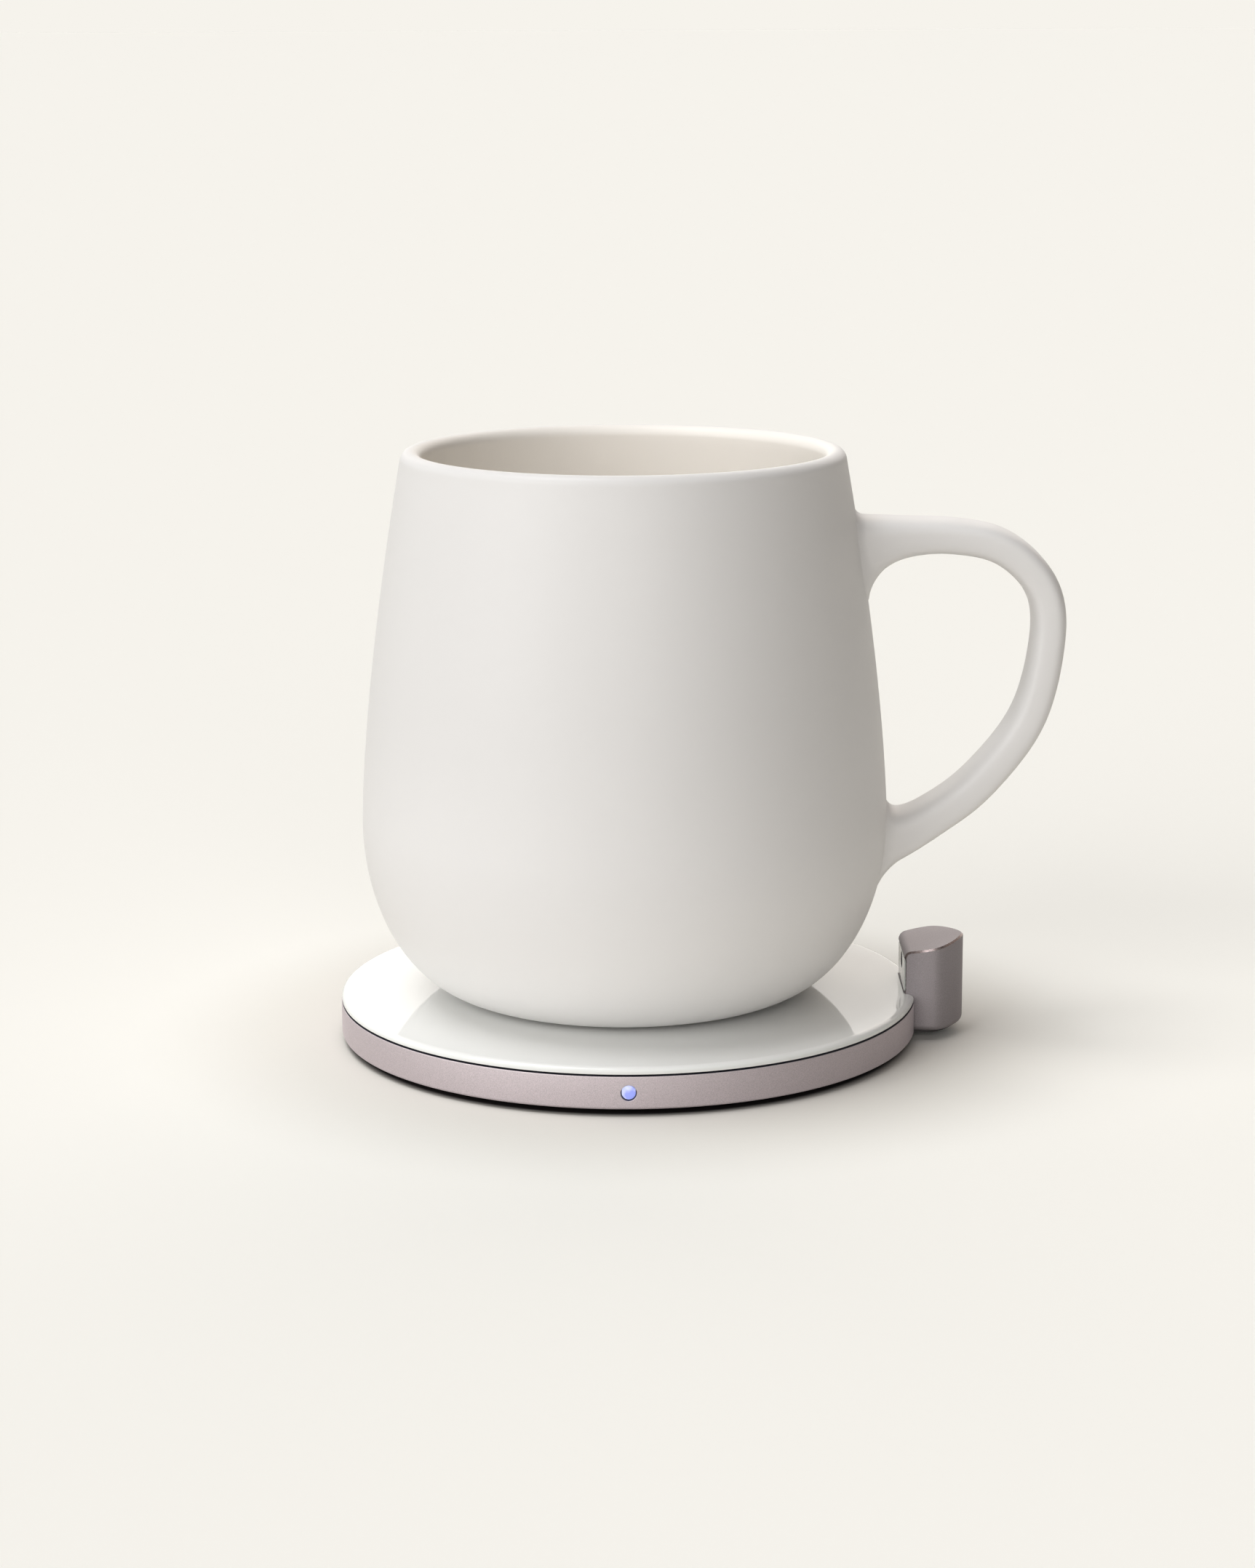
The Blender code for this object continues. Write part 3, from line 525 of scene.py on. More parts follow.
def light_finish():
    """A lit frosted pipe, whose glow clouds from blue to white."""
    made, shader, tree = new_finish("lit_plastic", (0.20, 0.22, 0.42), 0.25)
    lamp = span(tree, noise(tree, 700, 1.0), 0.40, 0.60, 0.0, 1.0)
    glow = blend_colours(tree, lamp, (0.24, 0.30, 0.84), (0.78, 0.82, 1.0))
    tree.links.new(glow, shader.inputs["Emission Color"])
    shader.inputs["Emission Strength"].default_value = 0.8
    return made


# How deep the grain of a polished plastic is
polished = 0.000001
finishes = {
    "ceramic": ceramic_finish(),
    "white_glass": glass_finish(),
    "blasted_aluminium": metal_finish("blasted_aluminium", (0.535, 0.484, 0.505)),
    "black_rubber": plain_finish("black_rubber", (0.008, 0.007, 0.007), 0.8, specular=0.1),
    "grey_silicone": plain_finish("grey_silicone", (0.022, 0.020, 0.020), 0.8, specular=0.2),
    "dark_plastic": plain_finish("dark_plastic", (0.035, 0.033, 0.033), 0.55, depth=0.00003),
    "white_plastic": plain_finish("white_plastic", (0.74, 0.73, 0.71), 0.5),
    "window_plastic": plain_finish("window_plastic", (0.50, 0.53, 0.50), 0.12, cloud=0.02, depth=polished),
    "lens_black": plain_finish(
        "lens_black", (0.008, 0.008, 0.010), 0.5, cloud=0.02, depth=polished, specular=0.0
    ),
    "lit_plastic": light_finish(),
    "copper": plain_finish("copper", (0.72, 0.36, 0.18), 0.32, 1.0),
    "ferrite": plain_finish("ferrite", (0.05, 0.05, 0.055), 0.65, depth=0.00003),
    "circuit_board": plain_finish("circuit_board", (0.02, 0.13, 0.06), 0.4, cloud=0.15),
    "heating_film": plain_finish("heating_film", (0.50, 0.22, 0.04), 0.3, cloud=0.12),
    "steel": plain_finish("steel", (0.58, 0.57, 0.56), 0.3, 1.0),
    "chip_black": plain_finish("chip_black", (0.022, 0.022, 0.024), 0.45, depth=0.00002),
    "capacitor_ceramic": plain_finish("capacitor_ceramic", (0.42, 0.30, 0.17), 0.5),
}
cut_metal = cut_metal_finish()
# Painted shade: a darker copy of the blasted aluminium for the tower, where the mug keeps the key light off
# it
tower_metal_painted_shade = metal_finish("tower_aluminium_painted_shade", (0.340, 0.314, 0.328))
hole_shade = plain_finish("hole_shade", (0.008, 0.008, 0.020), 0.6, depth=polished)
contact_gold = plain_finish("contact_gold", (0.80, 0.55, 0.22), 0.25, 1.0)


def dress_solids():
    """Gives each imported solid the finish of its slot."""
    for row in frame["record"]["subparts"]:
        solid = frame["nodes"][row["node"]]
        finish = finishes[row["material_slot"]]
        if not solid.material_slots:
            solid.data.materials.append(finish)
        for slot in solid.material_slots:
            slot.material = finish


# Mug


def outer_radius(height):
    """Radius of the mug's outside at a height above its foot."""
    if height < mug_belly_height:
        share = 1 - height / mug_belly_height
        return mug_foot_radius + (mug_belly_radius - mug_foot_radius) * math.sqrt(1 - share * share)
    share = (height - mug_belly_height) / (lip_height - mug_belly_height)
    return mug_belly_radius - (mug_belly_radius - mug_rim_radius) * share**mug_taper_power


def cup_profile():
    """Half section of the cup, from its floor over the lip to the recess for the heater."""
    floor = heater_top + cup_floor_thickness
    profile = [(0.0, floor), (cup_floor_radius / 2, floor), (cup_floor_radius, floor)]
    bowl_reach = outer_radius(cup_bowl_top) - mug_wall - cup_floor_radius
    profile += arc(cup_floor_radius, cup_bowl_top, bowl_reach, cup_bowl_top - floor, -90, 0, bowl_points)[1:]
    for i in range(1, inner_rows):
        height = cup_bowl_top + (lip_height - cup_bowl_top) * i / inner_rows
        profile.append((outer_radius(height) - mug_wall, height))
    lip = mug_wall / 2
    profile += arc(mug_rim_radius - lip, lip_height, lip, lip, 180 + lip_lean, lip_lean, lip_points)
    for i in range(1, outer_rows + 1):
        height = lip_height + (mug_belly_height - lip_height) * i / outer_rows
        profile.append((outer_radius(height), height))
    foot_reach = mug_belly_radius - mug_foot_radius
    profile += arc(mug_foot_radius, mug_belly_height, foot_reach, mug_belly_height, 0, -90, foot_points)[1:]
    profile += [
        (cap_seat_radius, 0.0),
        (cap_seat_radius, shelf_height),
        (heater_radius, shelf_height),
        (heater_radius, heater_top),
        (0.0, heater_top),
    ]
    return profile


def handle_curve():
    """Catmull-Rom curve through the handle's rows of shares."""
    made = []
    last = len(handle_shares) - 1
    for i in range(last):
        before = handle_shares[max(i - 1, 0)]
        here = handle_shares[i]
        after = handle_shares[i + 1]
        beyond = handle_shares[min(i + 2, last)]
        for step in range(handle_steps):
            t = step / handle_steps
            row = []
            for a, b, c, d in zip(before, here, after, beyond):
                curve = t * (c - a) / 2 + t * t * (a - 2.5 * b + 2 * c - d / 2)
                row.append(b + curve + t**3 * (1.5 * (b - c) + (d - a) / 2))
            made.append(row)
    made.append(handle_shares[last])
    return made


def handle_rows():
    """The handle's curve respaced evenly, and smoothed so that no row shows."""
    made = handle_curve()
    width = handle_reach - mug_belly_radius
    height = handle_top - handle_bottom
    walked = [0.0]
    for here, after in zip(made, made[1:]):
        step = math.hypot((after[0] - here[0]) * width, (after[1] - here[1]) * height)
        walked.append(walked[-1] + step)
    even = []
    place = 0
    count = round(walked[-1] / handle_step)
    for i in range(count + 1):
        goal = walked[-1] * i / count
        while place < len(made) - 2 and walked[place + 1] < goal:
            place += 1
        share = (goal - walked[place]) / (walked[place + 1] - walked[place])
        even.append([a + (b - a) * share for a, b in zip(made[place], made[place + 1])])
    for _ in range(handle_softenings):
        softened = [even[0]]
        for rows in zip(even, even[1:], even[2:]):
            softened.append([(a + 2 * b + c) / 4 for a, b, c in zip(*rows)])
        even = [*softened, even[-1]]
    return even


def from_wall(point):
    """Distance of a point outside the mug's wall, measured level."""
    return math.hypot(point.x, point.y) - outer_radius(point.z)


def fillet_reach(distance, radius):
    """How far a fillet of this radius stands out, at a distance from the wall."""
    share = min(max(distance / radius, fillet_stop_share), 1.0)
    return radius * (1 - math.sqrt(1 - (1 - share) ** 2))


def handle_rings():
    """Squarish oval sections along the handle, swelling into the wall at both ends."""
    rows = []
    for way, rise, thickness, width in handle_rows():
        height = handle_bottom + rise * (handle_top - handle_bottom)
        wall = outer_radius(height)
        centre = Vector((wall + way * (handle_reach - wall), 0.0, height))
        rows.append((centre, thickness * handle_thickness / 2, width * handle_width / 2))
    rings = []
    last = len(rows) - 1
    power = 2 / handle_power
    for i, (centre, thickness, width) in enumerate(rows):
        along = (rows[min(i + 1, last)][0] - rows[max(i - 1, 0)][0]).normalized()
        outward = Vector((-along.z, 0.0, along.x))
        outer, beside, inner = upper_fillet if i < last / 2 else lower_fillet
        ring = []
        for side in range(handle_sides):
            angle = math.tau * side / handle_sides
            up = math.copysign(abs(math.cos(angle)) ** power, math.cos(angle))
            aside = math.copysign(abs(math.sin(angle)) ** power, math.sin(angle))
            point = centre + outward * up * thickness + Vector((0.0, aside * width, 0.0))
            lean = math.copysign(abs(up) ** (handle_power - 1) / thickness, up)
            push = math.copysign(abs(aside) ** (handle_power - 1) / width, aside)
            normal = (outward * lean + Vector((0.0, push, 0.0))).normalized()
            facing = normal.dot(outward)
            radius = beside + max(facing, 0) * (outer - beside) + max(-facing, 0) * (inner - beside)
            distance = from_wall(point)
            if distance < radius:
                moved = point + normal * fillet_reach(distance, radius)
                moved.x -= from_wall(moved) - distance
                point = moved
            ring.append(point)
        rings.append(ring)
    return rings


def make_mug():
    place = Vector((mug_shift, 0.0, mug_low))
    mug = turned("mug", cup_profile(), finishes["ceramic"])
    handle = loft("handle_form", handle_rings())
    for piece in (mug, handle):
        piece.data.transform(Matrix.Translation(place))
    combine(mug, handle, "UNION")
    smooth(mug, angle=40)
    show(mug, "mug", "ceramic", "mug_body")


# Tower's plan, which also cuts the glass and the ring


def tower_side(x):
    """Half width of the tower at a distance x, from the flat face to where the nose begins."""
    share = min(max((x - tower_face) / tower_shoulder_length, 0.0), 1.0)
    return tower_half_width - tower_shoulder_rise * (1 - math.sin(math.pi / 2 * share))


def tower_nose(grow):
    """Points of one half of the blunt nose, from its widest place to its tip, moved out by grow."""
    half = tower_half_width + grow
    reach = tower_outer + grow - tower_bend
    power = 2 / tower_power
    points = []
    for i in range(nose_steps + 1):
        angle = math.radians(90 - 90 * i / nose_steps)
        gentle = 1 + (power - 1) * math.cos(angle)
        points.append((tower_bend + reach * math.cos(angle) ** gentle, half * math.sin(angle) ** power))
    return points


def tower_outline(grow):
    """The tower's plan, moved out by grow and turning left: a flat face at -X, shoulders and a blunt nose."""
    face = tower_face - grow
    cut = max(tower_chamfer + grow, tower_chamfer / 2)
    upper = [(face, tower_side(tower_face) + grow - cut)]
    for i in range(plan_steps):
        x = face + cut + (tower_bend - face - cut) * i / plan_steps
        upper.append((x, tower_side(x) + grow))
    upper += tower_nose(grow)
    lower = [(x, -y) for x, y in upper[:-1]]
    return lower + list(reversed(upper))


def tower_top(x, drop=0.0):
    """Height of the sloping top, which rises from the flat face to the nose."""
    return tower_face_top + tower_slope * (x - tower_face) - drop


def notch_cutter(name, low, high):
    outline = tower_outline(notch_gap)
    levels = (low - cutter_overrun, high + cutter_overrun)
    return loft(name, [[(x, y, z) for x, y in outline] for z in levels])


def notched_disc(radius, corner, gap):
    """A disc's outline, turning left, with the tower's notch and soft corners at the notch's mouth."""
    notch = tower_outline(gap)
    inside = []
    for point in notch:
        if math.hypot(*point) > radius:
            break
        inside.append(point)
    beyond = notch[len(inside)]
    step_in = math.hypot(*beyond) - math.hypot(*inside[-1])
    mouth = Vector(inside[-1]).lerp(Vector(beyond), (radius - math.hypot(*inside[-1])) / step_in)
    kept = [point for point in inside if math.dist(point, mouth) > corner]
    turn = -math.atan2(mouth.y, mouth.x) + corner / radius
    rim = []
    for i in range(round_steps + 1):
        angle = turn + (math.tau - 2 * turn) * i / round_steps
        rim.append((radius * math.cos(angle), radius * math.sin(angle)))
    front = curve_between(rim[-1], mouth, kept[-1]) + list(reversed(kept))
    return rim + front + [(x, -y) for x, y in reversed(front)]


def held_in(outline, radius):
    """The outline with every point that lies beyond the radius drawn in to it."""
    held = []
    for x, y in outline:
        share = min(1.0, radius / math.hypot(x, y))
        held.append((x * share, y * share))
    return held


def curve_between(start, middle, end):
    """The inner points of a curve that leaves start towards middle and bends to end."""
    points = []
    for i in range(1, curve_steps):
        t = i / curve_steps
        near, pull, far = (1 - t) ** 2, 2 * t * (1 - t), t * t
        points.append(tuple(near * a + pull * b + far * c for a, b, c in zip(start, middle, end)))
    return points


def round_edged(name, outline, radius, under, over, material):
    """A plate with rounded edges. Each edge is its level, its width, its height and its count of points."""
    level, width, rise, count = under
    edges = arc(width, level + rise, width, rise, 270, 180, count)
    level, width, rise, count = over
    edges += arc(width, level - rise, width, rise, 180, 90, count)
    rings = []
    for inset, height in edges:
        rings.append([(x, y, height) for x, y in held_in(outline, radius - inset)])
    return loft(name, rings, material)


def make_glass():
    outline = notched_disc(glass_radius, glass_corner, glass_notch_gap)
    under = (glass_low, glass_under_edge, glass_under_edge, glass_under_points)
    over = (glass_high, glass_edge_width, glass_edge, glass_edge_points)
    glass = round_edged("glass", outline, glass_radius, under, over, finishes["white_glass"])
    smooth(glass, angle=30)
    show(glass, "pad", "white_glass", "glass_top")


def make_gasket():
    """The black seam under the glass."""
    outer = pad_radius - ring_rim_width - side_gap
    low = ring_high - ledge_depth + side_gap
    high = glass_low - side_gap
    profile = [(outer - gasket_width, high), (outer, high), (outer, low), (outer - gasket_width, low)]
    gasket = turned("gasket", profile, finishes["black_rubber"], closed=True)
    combine(gasket, notch_cutter("gasket_notch", low, high))
    smooth(gasket)
    show(gasket, "pad", "black_rubber", "glass_gasket")


def make_ring():
    """The blasted ring, with its softly broken edges, ledge, notch and the hole for the status light."""
    rim_inner = pad_radius - ring_rim_width
    inner = pad_radius - ring_wall
    ledge_high = ring_high - ledge_depth
    ledge_low = ledge_high - ledge_thickness
    ledge_radius = rim_inner - side_gap - gasket_width - ledge_margin
    outline = notched_disc(pad_radius, ring_corner, notch_gap)
    under = (ring_low, ring_foot_edge, ring_foot_edge, ring_edge_points)
    over = (ring_high, ring_edge, ring_edge, ring_edge_points)
    ring = round_edged("ring", outline, pad_radius, under, over, finishes["blasted_aluminium"])
    profile = [
        (0.0, ring_high + cutter_overrun),
        (rim_inner, ring_high + cutter_overrun),
        (rim_inner, ledge_high),
        (ledge_radius, ledge_high),
        (ledge_radius, ledge_low),
        (inner, ledge_low),
        (inner, ring_low - cutter_overrun),
        (0.0, ring_low - cutter_overrun),
    ]
    combine(ring, turned("ring_inside", profile))
    hole_radius = light_face_radius + light_gap
    mouth = hole_radius + light_hole_edge
    front = pad_radius + cutter_overrun
    hole_profile = [
        (0.0, front),
        (mouth + cutter_overrun, front),
        (mouth, pad_radius),
        (hole_radius, pad_radius - light_hole_edge),
        (hole_radius, ledge_radius - cutter_overrun),
        (0.0, ledge_radius - cutter_overrun),
    ]
    hole = turned("light_hole", hole_profile, steps=small_steps)
    face_front(hole)
    combine(ring, hole)
    ring.data.materials.append(hole_shade)
    for face in ring.data.polygons:
        from_axis = math.hypot(face.center.x, face.center.z - light_height)
        in_hole = face.center.y < 0 and from_axis < mouth and abs(face.normal.y) < wall_limit
        under_glass = face.normal.z > level_limit and face.center.z > ring_high - ring_edge / 2
        if in_hole or under_glass:
            face.material_index = 1
    smooth(ring)
    show(ring, "pad", "blasted_aluminium", "ring_housing")


# Status light and foot


def face_front(piece):
    """Lays a body that was turned about Z on the status light's axis, with its top to the front."""
    place = Matrix.Translation((0.0, 0.0, light_height))
    piece.data.transform(place @ Matrix.Rotation(math.pi / 2, 4, "X"))


def make_light():
    """A frosted pipe with a softly domed end, a little inside its hole."""
    front = -light_low.y
    back = -light_high.y
    profile = [(0.0, front)]
    for i in range(1, dome_rows + 1):
        share = i / dome_rows
        profile.append((light_face_radius * share, front - light_dome * share**light_dome_power))
    profile += [(light_face_radius, back), (0.0, back)]
    pipe = turned("status_light", profile, finishes["lit_plastic"], steps=small_steps)
    face_front(pipe)
    smooth(pipe)
    show(pipe, "pad", "lit_plastic", "light_pipe")


def make_foot():
    """The round silicone foot that the pad stands on."""
    low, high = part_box("foot_pad")
    flat = high.x - foot_edge
    profile = [(0.0, high.z), (flat, high.z)]
    profile += arc(flat, high.z - foot_edge, foot_edge, foot_edge, 90, 0, foot_edge_points)[1:]
    profile += arc(flat, low.z + foot_edge, foot_edge, foot_edge, 0, -90, foot_edge_points)
    profile += [(0.0, low.z)]
    foot = turned("foot", profile, finishes["grey_silicone"])
    smooth(foot)
    show(foot, "pad", "grey_silicone", "foot_pad")


# Tower


def tower_edges():
    """Both lines of the tower's bright edge, on the side wall and on the face and top, from face to tip."""
    lean = math.atan(tower_slope)
    centre_x = tower_face + tower_face_round
    centre_z = tower_top(centre_x) - tower_face_round / math.cos(lean)
    small = tower_face_round - tower_chamfer
    wall = []
    cap = []
    for i in range(edge_round_points + 1):
        angle = math.pi + (lean - math.pi / 2) * i / edge_round_points
        x = centre_x + small * math.cos(angle)
        wall.append((x, tower_side(x), centre_z + small * math.sin(angle)))
        x = centre_x + tower_face_round * math.cos(angle)
        cap.append((x, tower_side(x) - tower_chamfer, centre_z + tower_face_round * math.sin(angle)))
    start = wall[-1][0]
    plan = []
    for i in range(1, edge_steps):
        x = start + (tower_bend - start) * i / edge_steps
        plan.append((x, tower_side(x)))
    plan += tower_nose(0.0)
    tip_x = plan[-1][0] - tower_chamfer
    for i, (x, y) in enumerate(plan):
        wall.append((x, y, tower_top(x, tower_chamfer)))
        before = Vector(plan[i - 1]) if i else Vector((start, tower_side(start)))
        after = Vector(plan[i + 1]) if i + 1 < len(plan) else Vector((x, -y - tower_chamfer))
        along = (after - before).normalized()
        moved = Vector((x, y)) + Vector((along.y, -along.x)) * tower_chamfer
        moved.x = min(max(moved.x, cap[-1][0]), tip_x)
        moved.y = max(moved.y, 0.0)
        cap.append((moved.x, moved.y, tower_top(moved.x)))
    cap[-1] = (tip_x, 0.0, tower_top(tip_x))
    return wall, cap


def both_sides(points):
    """A ring from the points of its half at +Y, mirrored to -Y. The last point lies on the mirror's plane."""
    return [(x, -y, z) for x, y, z in points] + [(x, y, z) for x, y, z in reversed(points[:-1])]


def tower_form():
    """The tower's closed skin: walls from the foot up, the bright edge, and a top straight across."""
    wall, cap = tower_edges()
    corner = cap[0]
    outline = [point[:2] for point in both_sides([corner] + wall)]
    rings = []
    middle = (tower_face + tower_outer) / 2
    for step in range(tower_foot_steps):
        angle = math.radians(90 * step / tower_foot_steps)
        inset = tower_foot_inset * (1 - math.sin(angle))
        level = tower_low + tower_foot_round * (1 - math.cos(angle))
        across = 1 - inset / tower_half_width
        along = 1 - inset / (tower_outer - middle)
        rings.append([(middle + (x - middle) * along, y * across, level) for x, y in outline])
    rings.append([(x, y, tower_low + tower_foot_round) for x, y in outline])
    rings.append(both_sides([corner] + wall))
    rings.append(both_sides([corner] + cap))
    points, faces = ring_walls(rings)
    count = len(rings[0])
    last = len(rings) - 1
    bright = [False]
    for row in range(last):
        for i in range(count):
            at_corner = i in (0, count - 2)
            bright.append(at_corner or (row == last - 1 and i != count - 1))
    first = last * count
    for i in range(1, count // 2):
        strip = [first + i, first + i + 1, first + count - 2 - i, first + count - 1 - i]
        faces.append(list(dict.fromkeys(strip)))
        bright.append(False)
    # The tower takes the darker copy of the metal, painted shade
    tower = mesh_piece("tower", points, faces, tower_metal_painted_shade)
    tower.data.materials.append(cut_metal)
    for face, shiny in zip(tower.data.polygons, bright):
        face.material_index = 1 if shiny else 0
    mesh = bmesh.new()
    mesh.from_mesh(tower.data)
    bmesh.ops.remove_doubles(mesh, verts=mesh.verts, dist=weld_distance)
    bmesh.ops.dissolve_degenerate(mesh, edges=mesh.edges, dist=weld_distance / 2)
    mesh.to_mesh(tower.data)
    mesh.free()
    return tower


def make_tower():
    tower = tower_form()
    outline = tower_outline(-tower_wall)
    hollow_foot = [(x, y, tower_low - cutter_overrun) for x, y in outline]
    hollow_top = [(x, y, tower_top(x, tower_wall)) for x, y in outline]
    combine(tower, loft("tower_hollow", [hollow_foot, hollow_top]))
    low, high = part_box("sensor_window")
    opening = block(
        "window_opening",
        (tower_face - cutter_overrun, low.y - side_gap, low.z - side_gap),
        (tower_face + tower_wall + side_gap, high.y + side_gap, high.z + side_gap),
    )
    combine(tower, opening)
    doorway = block(
        "doorway",
        (tower_face - cutter_overrun, -neck_half_width - side_gap, tower_low - cutter_overrun),
        (tower_face + tower_wall + side_gap, neck_half_width + side_gap, doorway_top),
    )
    combine(tower, doorway)
    combine(tower, port_cutter())
    smooth(tower, angle=25)
    show(tower, "pad", "blasted_aluminium", "tower_housing")


def make_window():
    """The pale window in the tower's flat face, with its sensor's dark lens."""
    low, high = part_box("sensor_window")
    half_y = (high.y - low.y) / 2
    half_z = (high.z - low.z) / 2
    middle_z = (high.z + low.z) / 2
    outline = []
    for quarter, (side_y, side_z) in enumerate(((1, 1), (-1, 1), (-1, -1), (1, -1))):
        centre_y = side_y * (half_y - window_round)
        centre_z = middle_z + side_z * (half_z - window_round)
        start = 90 * quarter
        end = start + 90
        outline += arc(centre_y, centre_z, window_round, window_round, start, end, window_corner_points)
    edge = arc(window_edge, window_edge, window_edge, window_edge, 270, 180, window_edge_points)
    rings = [[(high.x, y, z) for y, z in reversed(outline)]]
    for inset, back in reversed(edge):
        rings.append([(low.x + back, y, z) for y, z in reversed(offset(outline, inset))])
    window = loft("window", [list(reversed(ring)) for ring in rings], finishes["window_plastic"])
    lens_low, lens_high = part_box("sensor_lens")
    lens_radius = (lens_high.y - lens_low.y) / 2
    lens_height = (lens_high.z + lens_low.z) / 2
    turn = Matrix.Translation((0.0, 0.0, lens_height)) @ Matrix.Rotation(-math.pi / 2, 4, "Y")
    drill = lens_radius + side_gap
    hole_profile = [
        (0.0, cutter_overrun - low.x),
        (drill, cutter_overrun - low.x),
        (drill, -high.x - cutter_overrun),
        (0.0, -high.x - cutter_overrun),
    ]
    hole = turned("lens_hole", hole_profile, steps=small_steps)
    hole.data.transform(turn)
    combine(window, hole)
    window.data.materials.append(hole_shade)
    for face in window.data.polygons:
        from_axis = math.hypot(face.center.y, face.center.z - lens_height)
        if from_axis < drill and abs(face.normal.x) < wall_limit:
            face.material_index = 1
    smooth(window, angle=30)
    show(window, "pad", "window_plastic", "sensor_window")
    profile = [(0.0, -lens_low.x)]
    for i in range(1, lens_rows + 1):
        share = i / lens_rows
        profile.append((lens_radius * share, -lens_low.x - lens_dome * share * share))
    profile += [(lens_radius, -lens_high.x), (0.0, -lens_high.x)]
    lens = turned("lens", profile, finishes["lens_black"], steps=small_steps)
    lens.data.transform(turn)
    smooth(lens)
    show(lens, "pad", "lens_black", "sensor_lens")


# Inlet in the tower's back


def stadium(grow, y):
    """The inlet's upright outline with round ends, in the plane at y."""
    low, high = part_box("usb_shell")
    half = (high.x - low.x) / 2 + grow
    middle_x = (high.x + low.x) / 2
    middle_z = (high.z + low.z) / 2
    straight = (high.z - low.z) / 2 - (high.x - low.x) / 2
    outline = arc(middle_x, middle_z + straight, half, half, 180, 0, inlet_round_points)
    outline += arc(middle_x, middle_z - straight, half, half, 0, -180, inlet_round_points)
    return [(x, y, z) for x, z in outline]


def port_cutter():
    """The inlet's opening, from the tower's middle out through its back."""
    front = tower_half_width
    rings = [
        stadium(side_gap, 0.0),
        stadium(side_gap, front - port_edge),
        stadium(side_gap + port_edge, front),
        stadium(side_gap + port_edge, front + cutter_overrun),
    ]
    return loft("port", rings)


def make_inlet():
    """The drawn steel shell and the tongue with its two rows of contacts."""
    low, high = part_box("usb_shell")
    rings = [stadium(0.0, low.y), stadium(0.0, high.y - shell_lip), stadium(-shell_lip, high.y)]
    shell = loft("inlet_shell", rings, finishes["steel"])
    inside = []
    for y in (low.y + shell_sheet, high.y - shell_lip, high.y + cutter_overrun):
        inside.append(stadium(-shell_sheet, y))
    combine(shell, loft("shell_hollow", inside))
    smooth(shell)
    show(shell, "pad", "steel", "usb_shell")
    make_tongue((low.x + high.x) / 2, (low.z + high.z) / 2)


def make_tongue(middle_x, middle_z):
    """A blade with a broken edge on a root that fills the shell."""
    back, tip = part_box("usb_tongue")
    root = back.y + tongue_root_depth
    rings = [stadium(-shell_sheet - side_gap, back.y), stadium(-shell_sheet - side_gap, root)]
    tongue = loft("inlet_tongue", rings, finishes["dark_plastic"])
    start = back.y + tongue_root_depth / 2
    end = tip.y - tongue_point
    blade_rings = []
    for y, less in ((start, 0.0), (end, 0.0), (tip.y, tongue_point)):
        x_half = tongue_half_thickness - less
        z_half = tongue_half_length - less
        corners = ((-x_half, z_half), (x_half, z_half), (x_half, -z_half), (-x_half, -z_half))
        blade_rings.append([(middle_x + x, y, middle_z + z) for x, z in corners])
    combine(tongue, loft("blade", blade_rings), "UNION")
    smooth(tongue)
    show(tongue, "pad", "dark_plastic", "usb_tongue")
    make_contacts(middle_x, middle_z, root, end)


def make_contacts(middle_x, middle_z, start, end):
    """A row of gold contacts on each side of the tongue, in one piece."""
    quads = [(4, 5, 6, 7), (0, 1, 5, 4), (1, 2, 6, 5), (2, 3, 7, 6), (3, 0, 4, 7), (3, 2, 1, 0)]
    points = []
    faces = []
    for side in (-1, 1):
        for i in range(contacts_a_side):
            centre = middle_z + (i - (contacts_a_side - 1) / 2) * contact_pitch
            flat = middle_x + side * tongue_half_thickness
            outer = flat + side * contact_rise
            low = centre - contact_width / 2
            high = centre + contact_width / 2
            first = len(points)
            for x in (flat, outer):
                points += [(x, start, low), (x, end, low), (x, end, high), (x, start, high)]
            for quad in quads:
                face = [first + corner for corner in quad]
                faces.append(face if side > 0 else list(reversed(face)))
    contacts = mesh_piece("inlet_contacts", points, faces, contact_gold)
    show(contacts, "pad", "copper")


# Studio

# The camera's lens in the photo's pixels, its place and its turn in degrees
focal_pixels = 4767.15
photo_height = 2156
camera_away = 0.58487
camera_height = 0.17294
camera_pitch = 12.4294
camera_roll = -0.2259
sensor_width = 36.0
clip_range = (0.01, 200.0)

backdrop_colour = (0.922, 0.896, 0.839)
floor_colour = (0.77, 0.75, 0.70)
floor_reach = 60.0
# Painted shade round the pad: the floor's glow for the camera is nothing inside the first reach and full past
# the second
floor_glow_painted_shade_reach = (0.046, 0.088)
# The pad's own deep shade, under its ring
floor_shade = (0.03, 0.025, 0.025)
floor_shade_reach = (0.0480, 0.0500)
# How far to the right and to the back the studio turns darker in reflections, and how dark
dark_right = (0.0, 0.60)
dark_back = (0.2, 0.8)
dark_back_share = 0.50
dark_tone_share = 0.12
# Each lamp's name, azimuth, elevation, strength, spread and colour
lamps = (
    ("overhead", 0, 72, 1.60, 34, (1.0, 1.0, 1.0)),
    ("key", 42, 22, 1.34, 45, (1.0, 1.0, 1.0)),
    ("front", 92, 20, 0.72, 36, (1.0, 0.972, 0.966)),
    ("rim_left", 315, 20, 0.254, 60, (1.0, 1.0, 1.0)),
    ("back", 266, 28, 0.85, 60, (1.0, 0.95, 0.90)),
    ("warm_fill", 238, 40, 0.30, 60, (1.0, 0.82, 0.68)),
)


def seen_rays(tree):
    """One for rays of the camera, of reflections and through clear pieces, else zero."""
    rays = tree.nodes.new("ShaderNodeLightPath").outputs
    either = maths(tree, "MAXIMUM", rays["Is Camera Ray"], rays["Is Glossy Ray"])
    return maths(tree, "MAXIMUM", either, rays["Is Transmission Ray"])


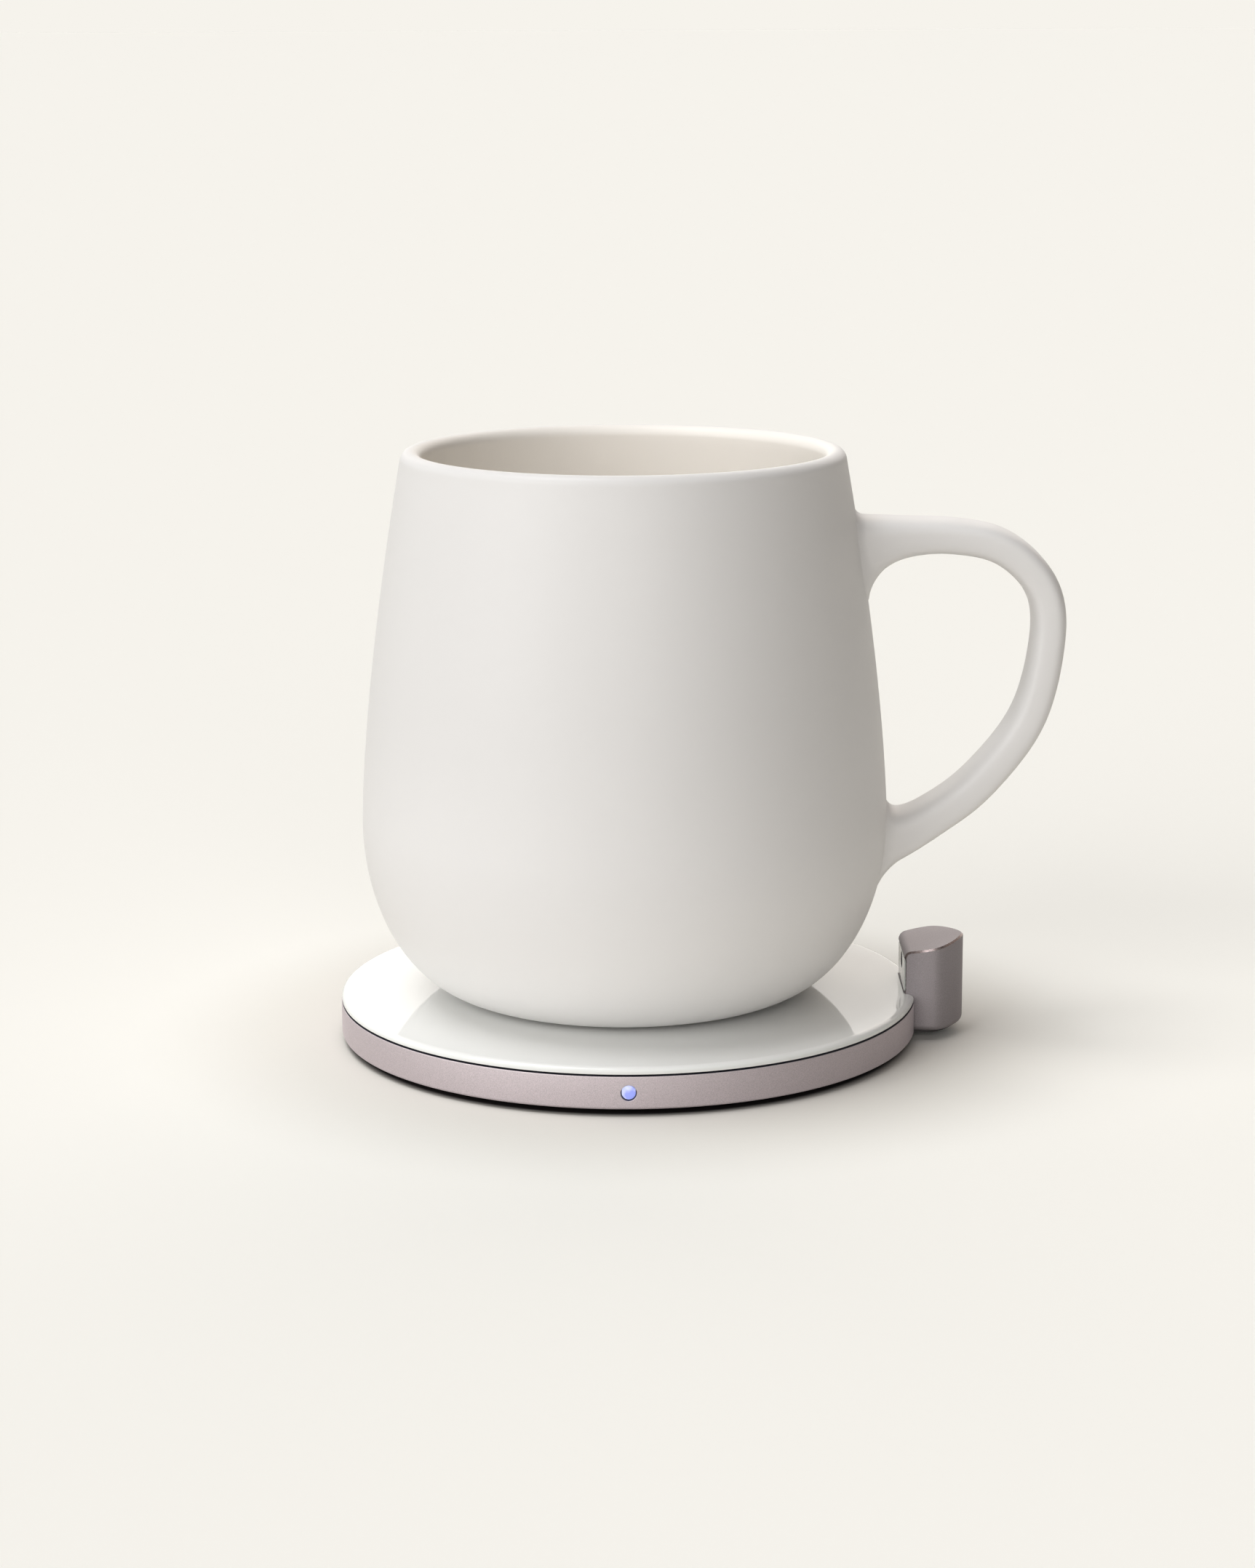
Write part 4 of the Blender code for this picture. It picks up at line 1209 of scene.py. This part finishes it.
def open_light():
    """What the lamps give a level white surface that nothing shades."""
    total = Vector((0.0, 0.0, 0.0))
    for _, _, elevation, strength, _, colour in lamps:
        total += Vector(colour) * strength * math.sin(math.radians(elevation)) / math.pi
    return total


def make_floor():
    """A pale floor that reaches to the horizon. The camera sees its open parts as pale as the backdrop, with
    painted shade round the pad and under its ring.
    """
    points = [(x * floor_reach, y * floor_reach, 0.0) for x, y in ((-1, -1), (1, -1), (1, 1), (-1, 1))]
    finish, shader, tree = new_finish("floor", floor_colour, 1.0, specular=0.0)
    grain = noise(tree, 900)
    tint = blend_colours(tree, grain, shaded(floor_colour, 0.996), shaded(floor_colour, 1.004))
    away = length(tree, place_on(tree))
    clear = span(tree, away, *floor_shade_reach, 0.0, 1.0, "SMOOTHSTEP")
    tree.links.new(blend_colours(tree, clear, floor_shade, tint), shader.inputs["Base Color"])
    # Painted shade: the glow fades out towards the pad
    rise = span(tree, away, *floor_glow_painted_shade_reach, 0.0, 1.0, "SMOOTHSTEP")
    camera_rays = tree.nodes.new("ShaderNodeLightPath").outputs["Is Camera Ray"]
    tree.links.new(maths(tree, "MULTIPLY", rise, camera_rays), shader.inputs["Emission Strength"])
    glow = []
    for goal, part, light in zip(backdrop_colour, floor_colour, open_light()):
        glow.append(goal - part * light)
    shader.inputs["Emission Color"].default_value = (*glow, 1.0)
    floor = mesh_piece("floor", points, [[0, 1, 2, 3]], finish)


def make_world():
    """The pale backdrop, with a darker right side and back in reflections. Lamps give all the light."""
    world = bpy.data.worlds.new("studio")
    bpy.context.scene.world = world
    world.use_nodes = True
    tree = world.node_tree
    backdrop = tree.nodes["Background"]
    tree.links.new(seen_rays(tree), backdrop.inputs["Strength"])
    way = split(tree, place_on(tree, "Generated"))
    side = span(tree, way["X"], *dark_right, 0.0, 1.0)
    behind = span(tree, way["Y"], *dark_back, 0.0, dark_back_share)
    glossy_rays = tree.nodes.new("ShaderNodeLightPath").outputs["Is Glossy Ray"]
    dark = maths(tree, "MULTIPLY", maths(tree, "MAXIMUM", side, behind), glossy_rays)
    tint = blend_colours(tree, dark, backdrop_colour, shaded(backdrop_colour, dark_tone_share))
    tree.links.new(tint, backdrop.inputs["Color"])


def make_lamp(name, azimuth, elevation, strength, spread, colour):
    """A sun lamp. Azimuth 0 shines from -X, 90 from -Y, where the camera stands."""
    data = bpy.data.lights.new(name, "SUN")
    data.energy = strength
    data.angle = math.radians(spread)
    data.color = colour
    lamp = bpy.data.objects.new(name, data)
    bpy.context.scene.collection.objects.link(lamp)
    turn = math.radians(azimuth)
    rise = math.radians(elevation)
    source = Vector((-math.cos(turn) * math.cos(rise), -math.sin(turn) * math.cos(rise), math.sin(rise)))
    lamp.rotation_mode = "QUATERNION"
    lamp.rotation_quaternion = source.to_track_quat("Z", "Y")


def make_camera():
    """The photograph's camera, fitted to the pad's circles and the mug's rim."""
    pitch = math.radians(camera_pitch)
    roll = math.radians(camera_roll)
    forward = Vector((0.0, math.cos(pitch), -math.sin(pitch)))
    right = Vector((1.0, 0.0, 0.0))
    up = right.cross(forward)
    level_right = math.cos(roll) * right + math.sin(roll) * up
    level_up = math.cos(roll) * up - math.sin(roll) * right
    data = bpy.data.cameras.new("camera")
    data.sensor_width = sensor_width
    data.lens = focal_pixels * sensor_width / photo_height
    data.clip_start, data.clip_end = clip_range
    camera = bpy.data.objects.new("camera", data)
    bpy.context.scene.collection.objects.link(camera)
    turn = Matrix((level_right, level_up, -forward)).transposed()
    camera.matrix_world = Matrix.Translation((0.0, -camera_away, camera_height)) @ turn.to_4x4()
    bpy.context.scene.camera = camera


dress_solids()
make_mug()
make_glass()
make_gasket()
make_ring()
make_light()
make_foot()
make_tower()
make_window()
make_inlet()
make_floor()
make_world()
for lamp_row in lamps:
    make_lamp(*lamp_row)
make_camera()
bpy.context.scene.view_settings.view_transform = "Standard"
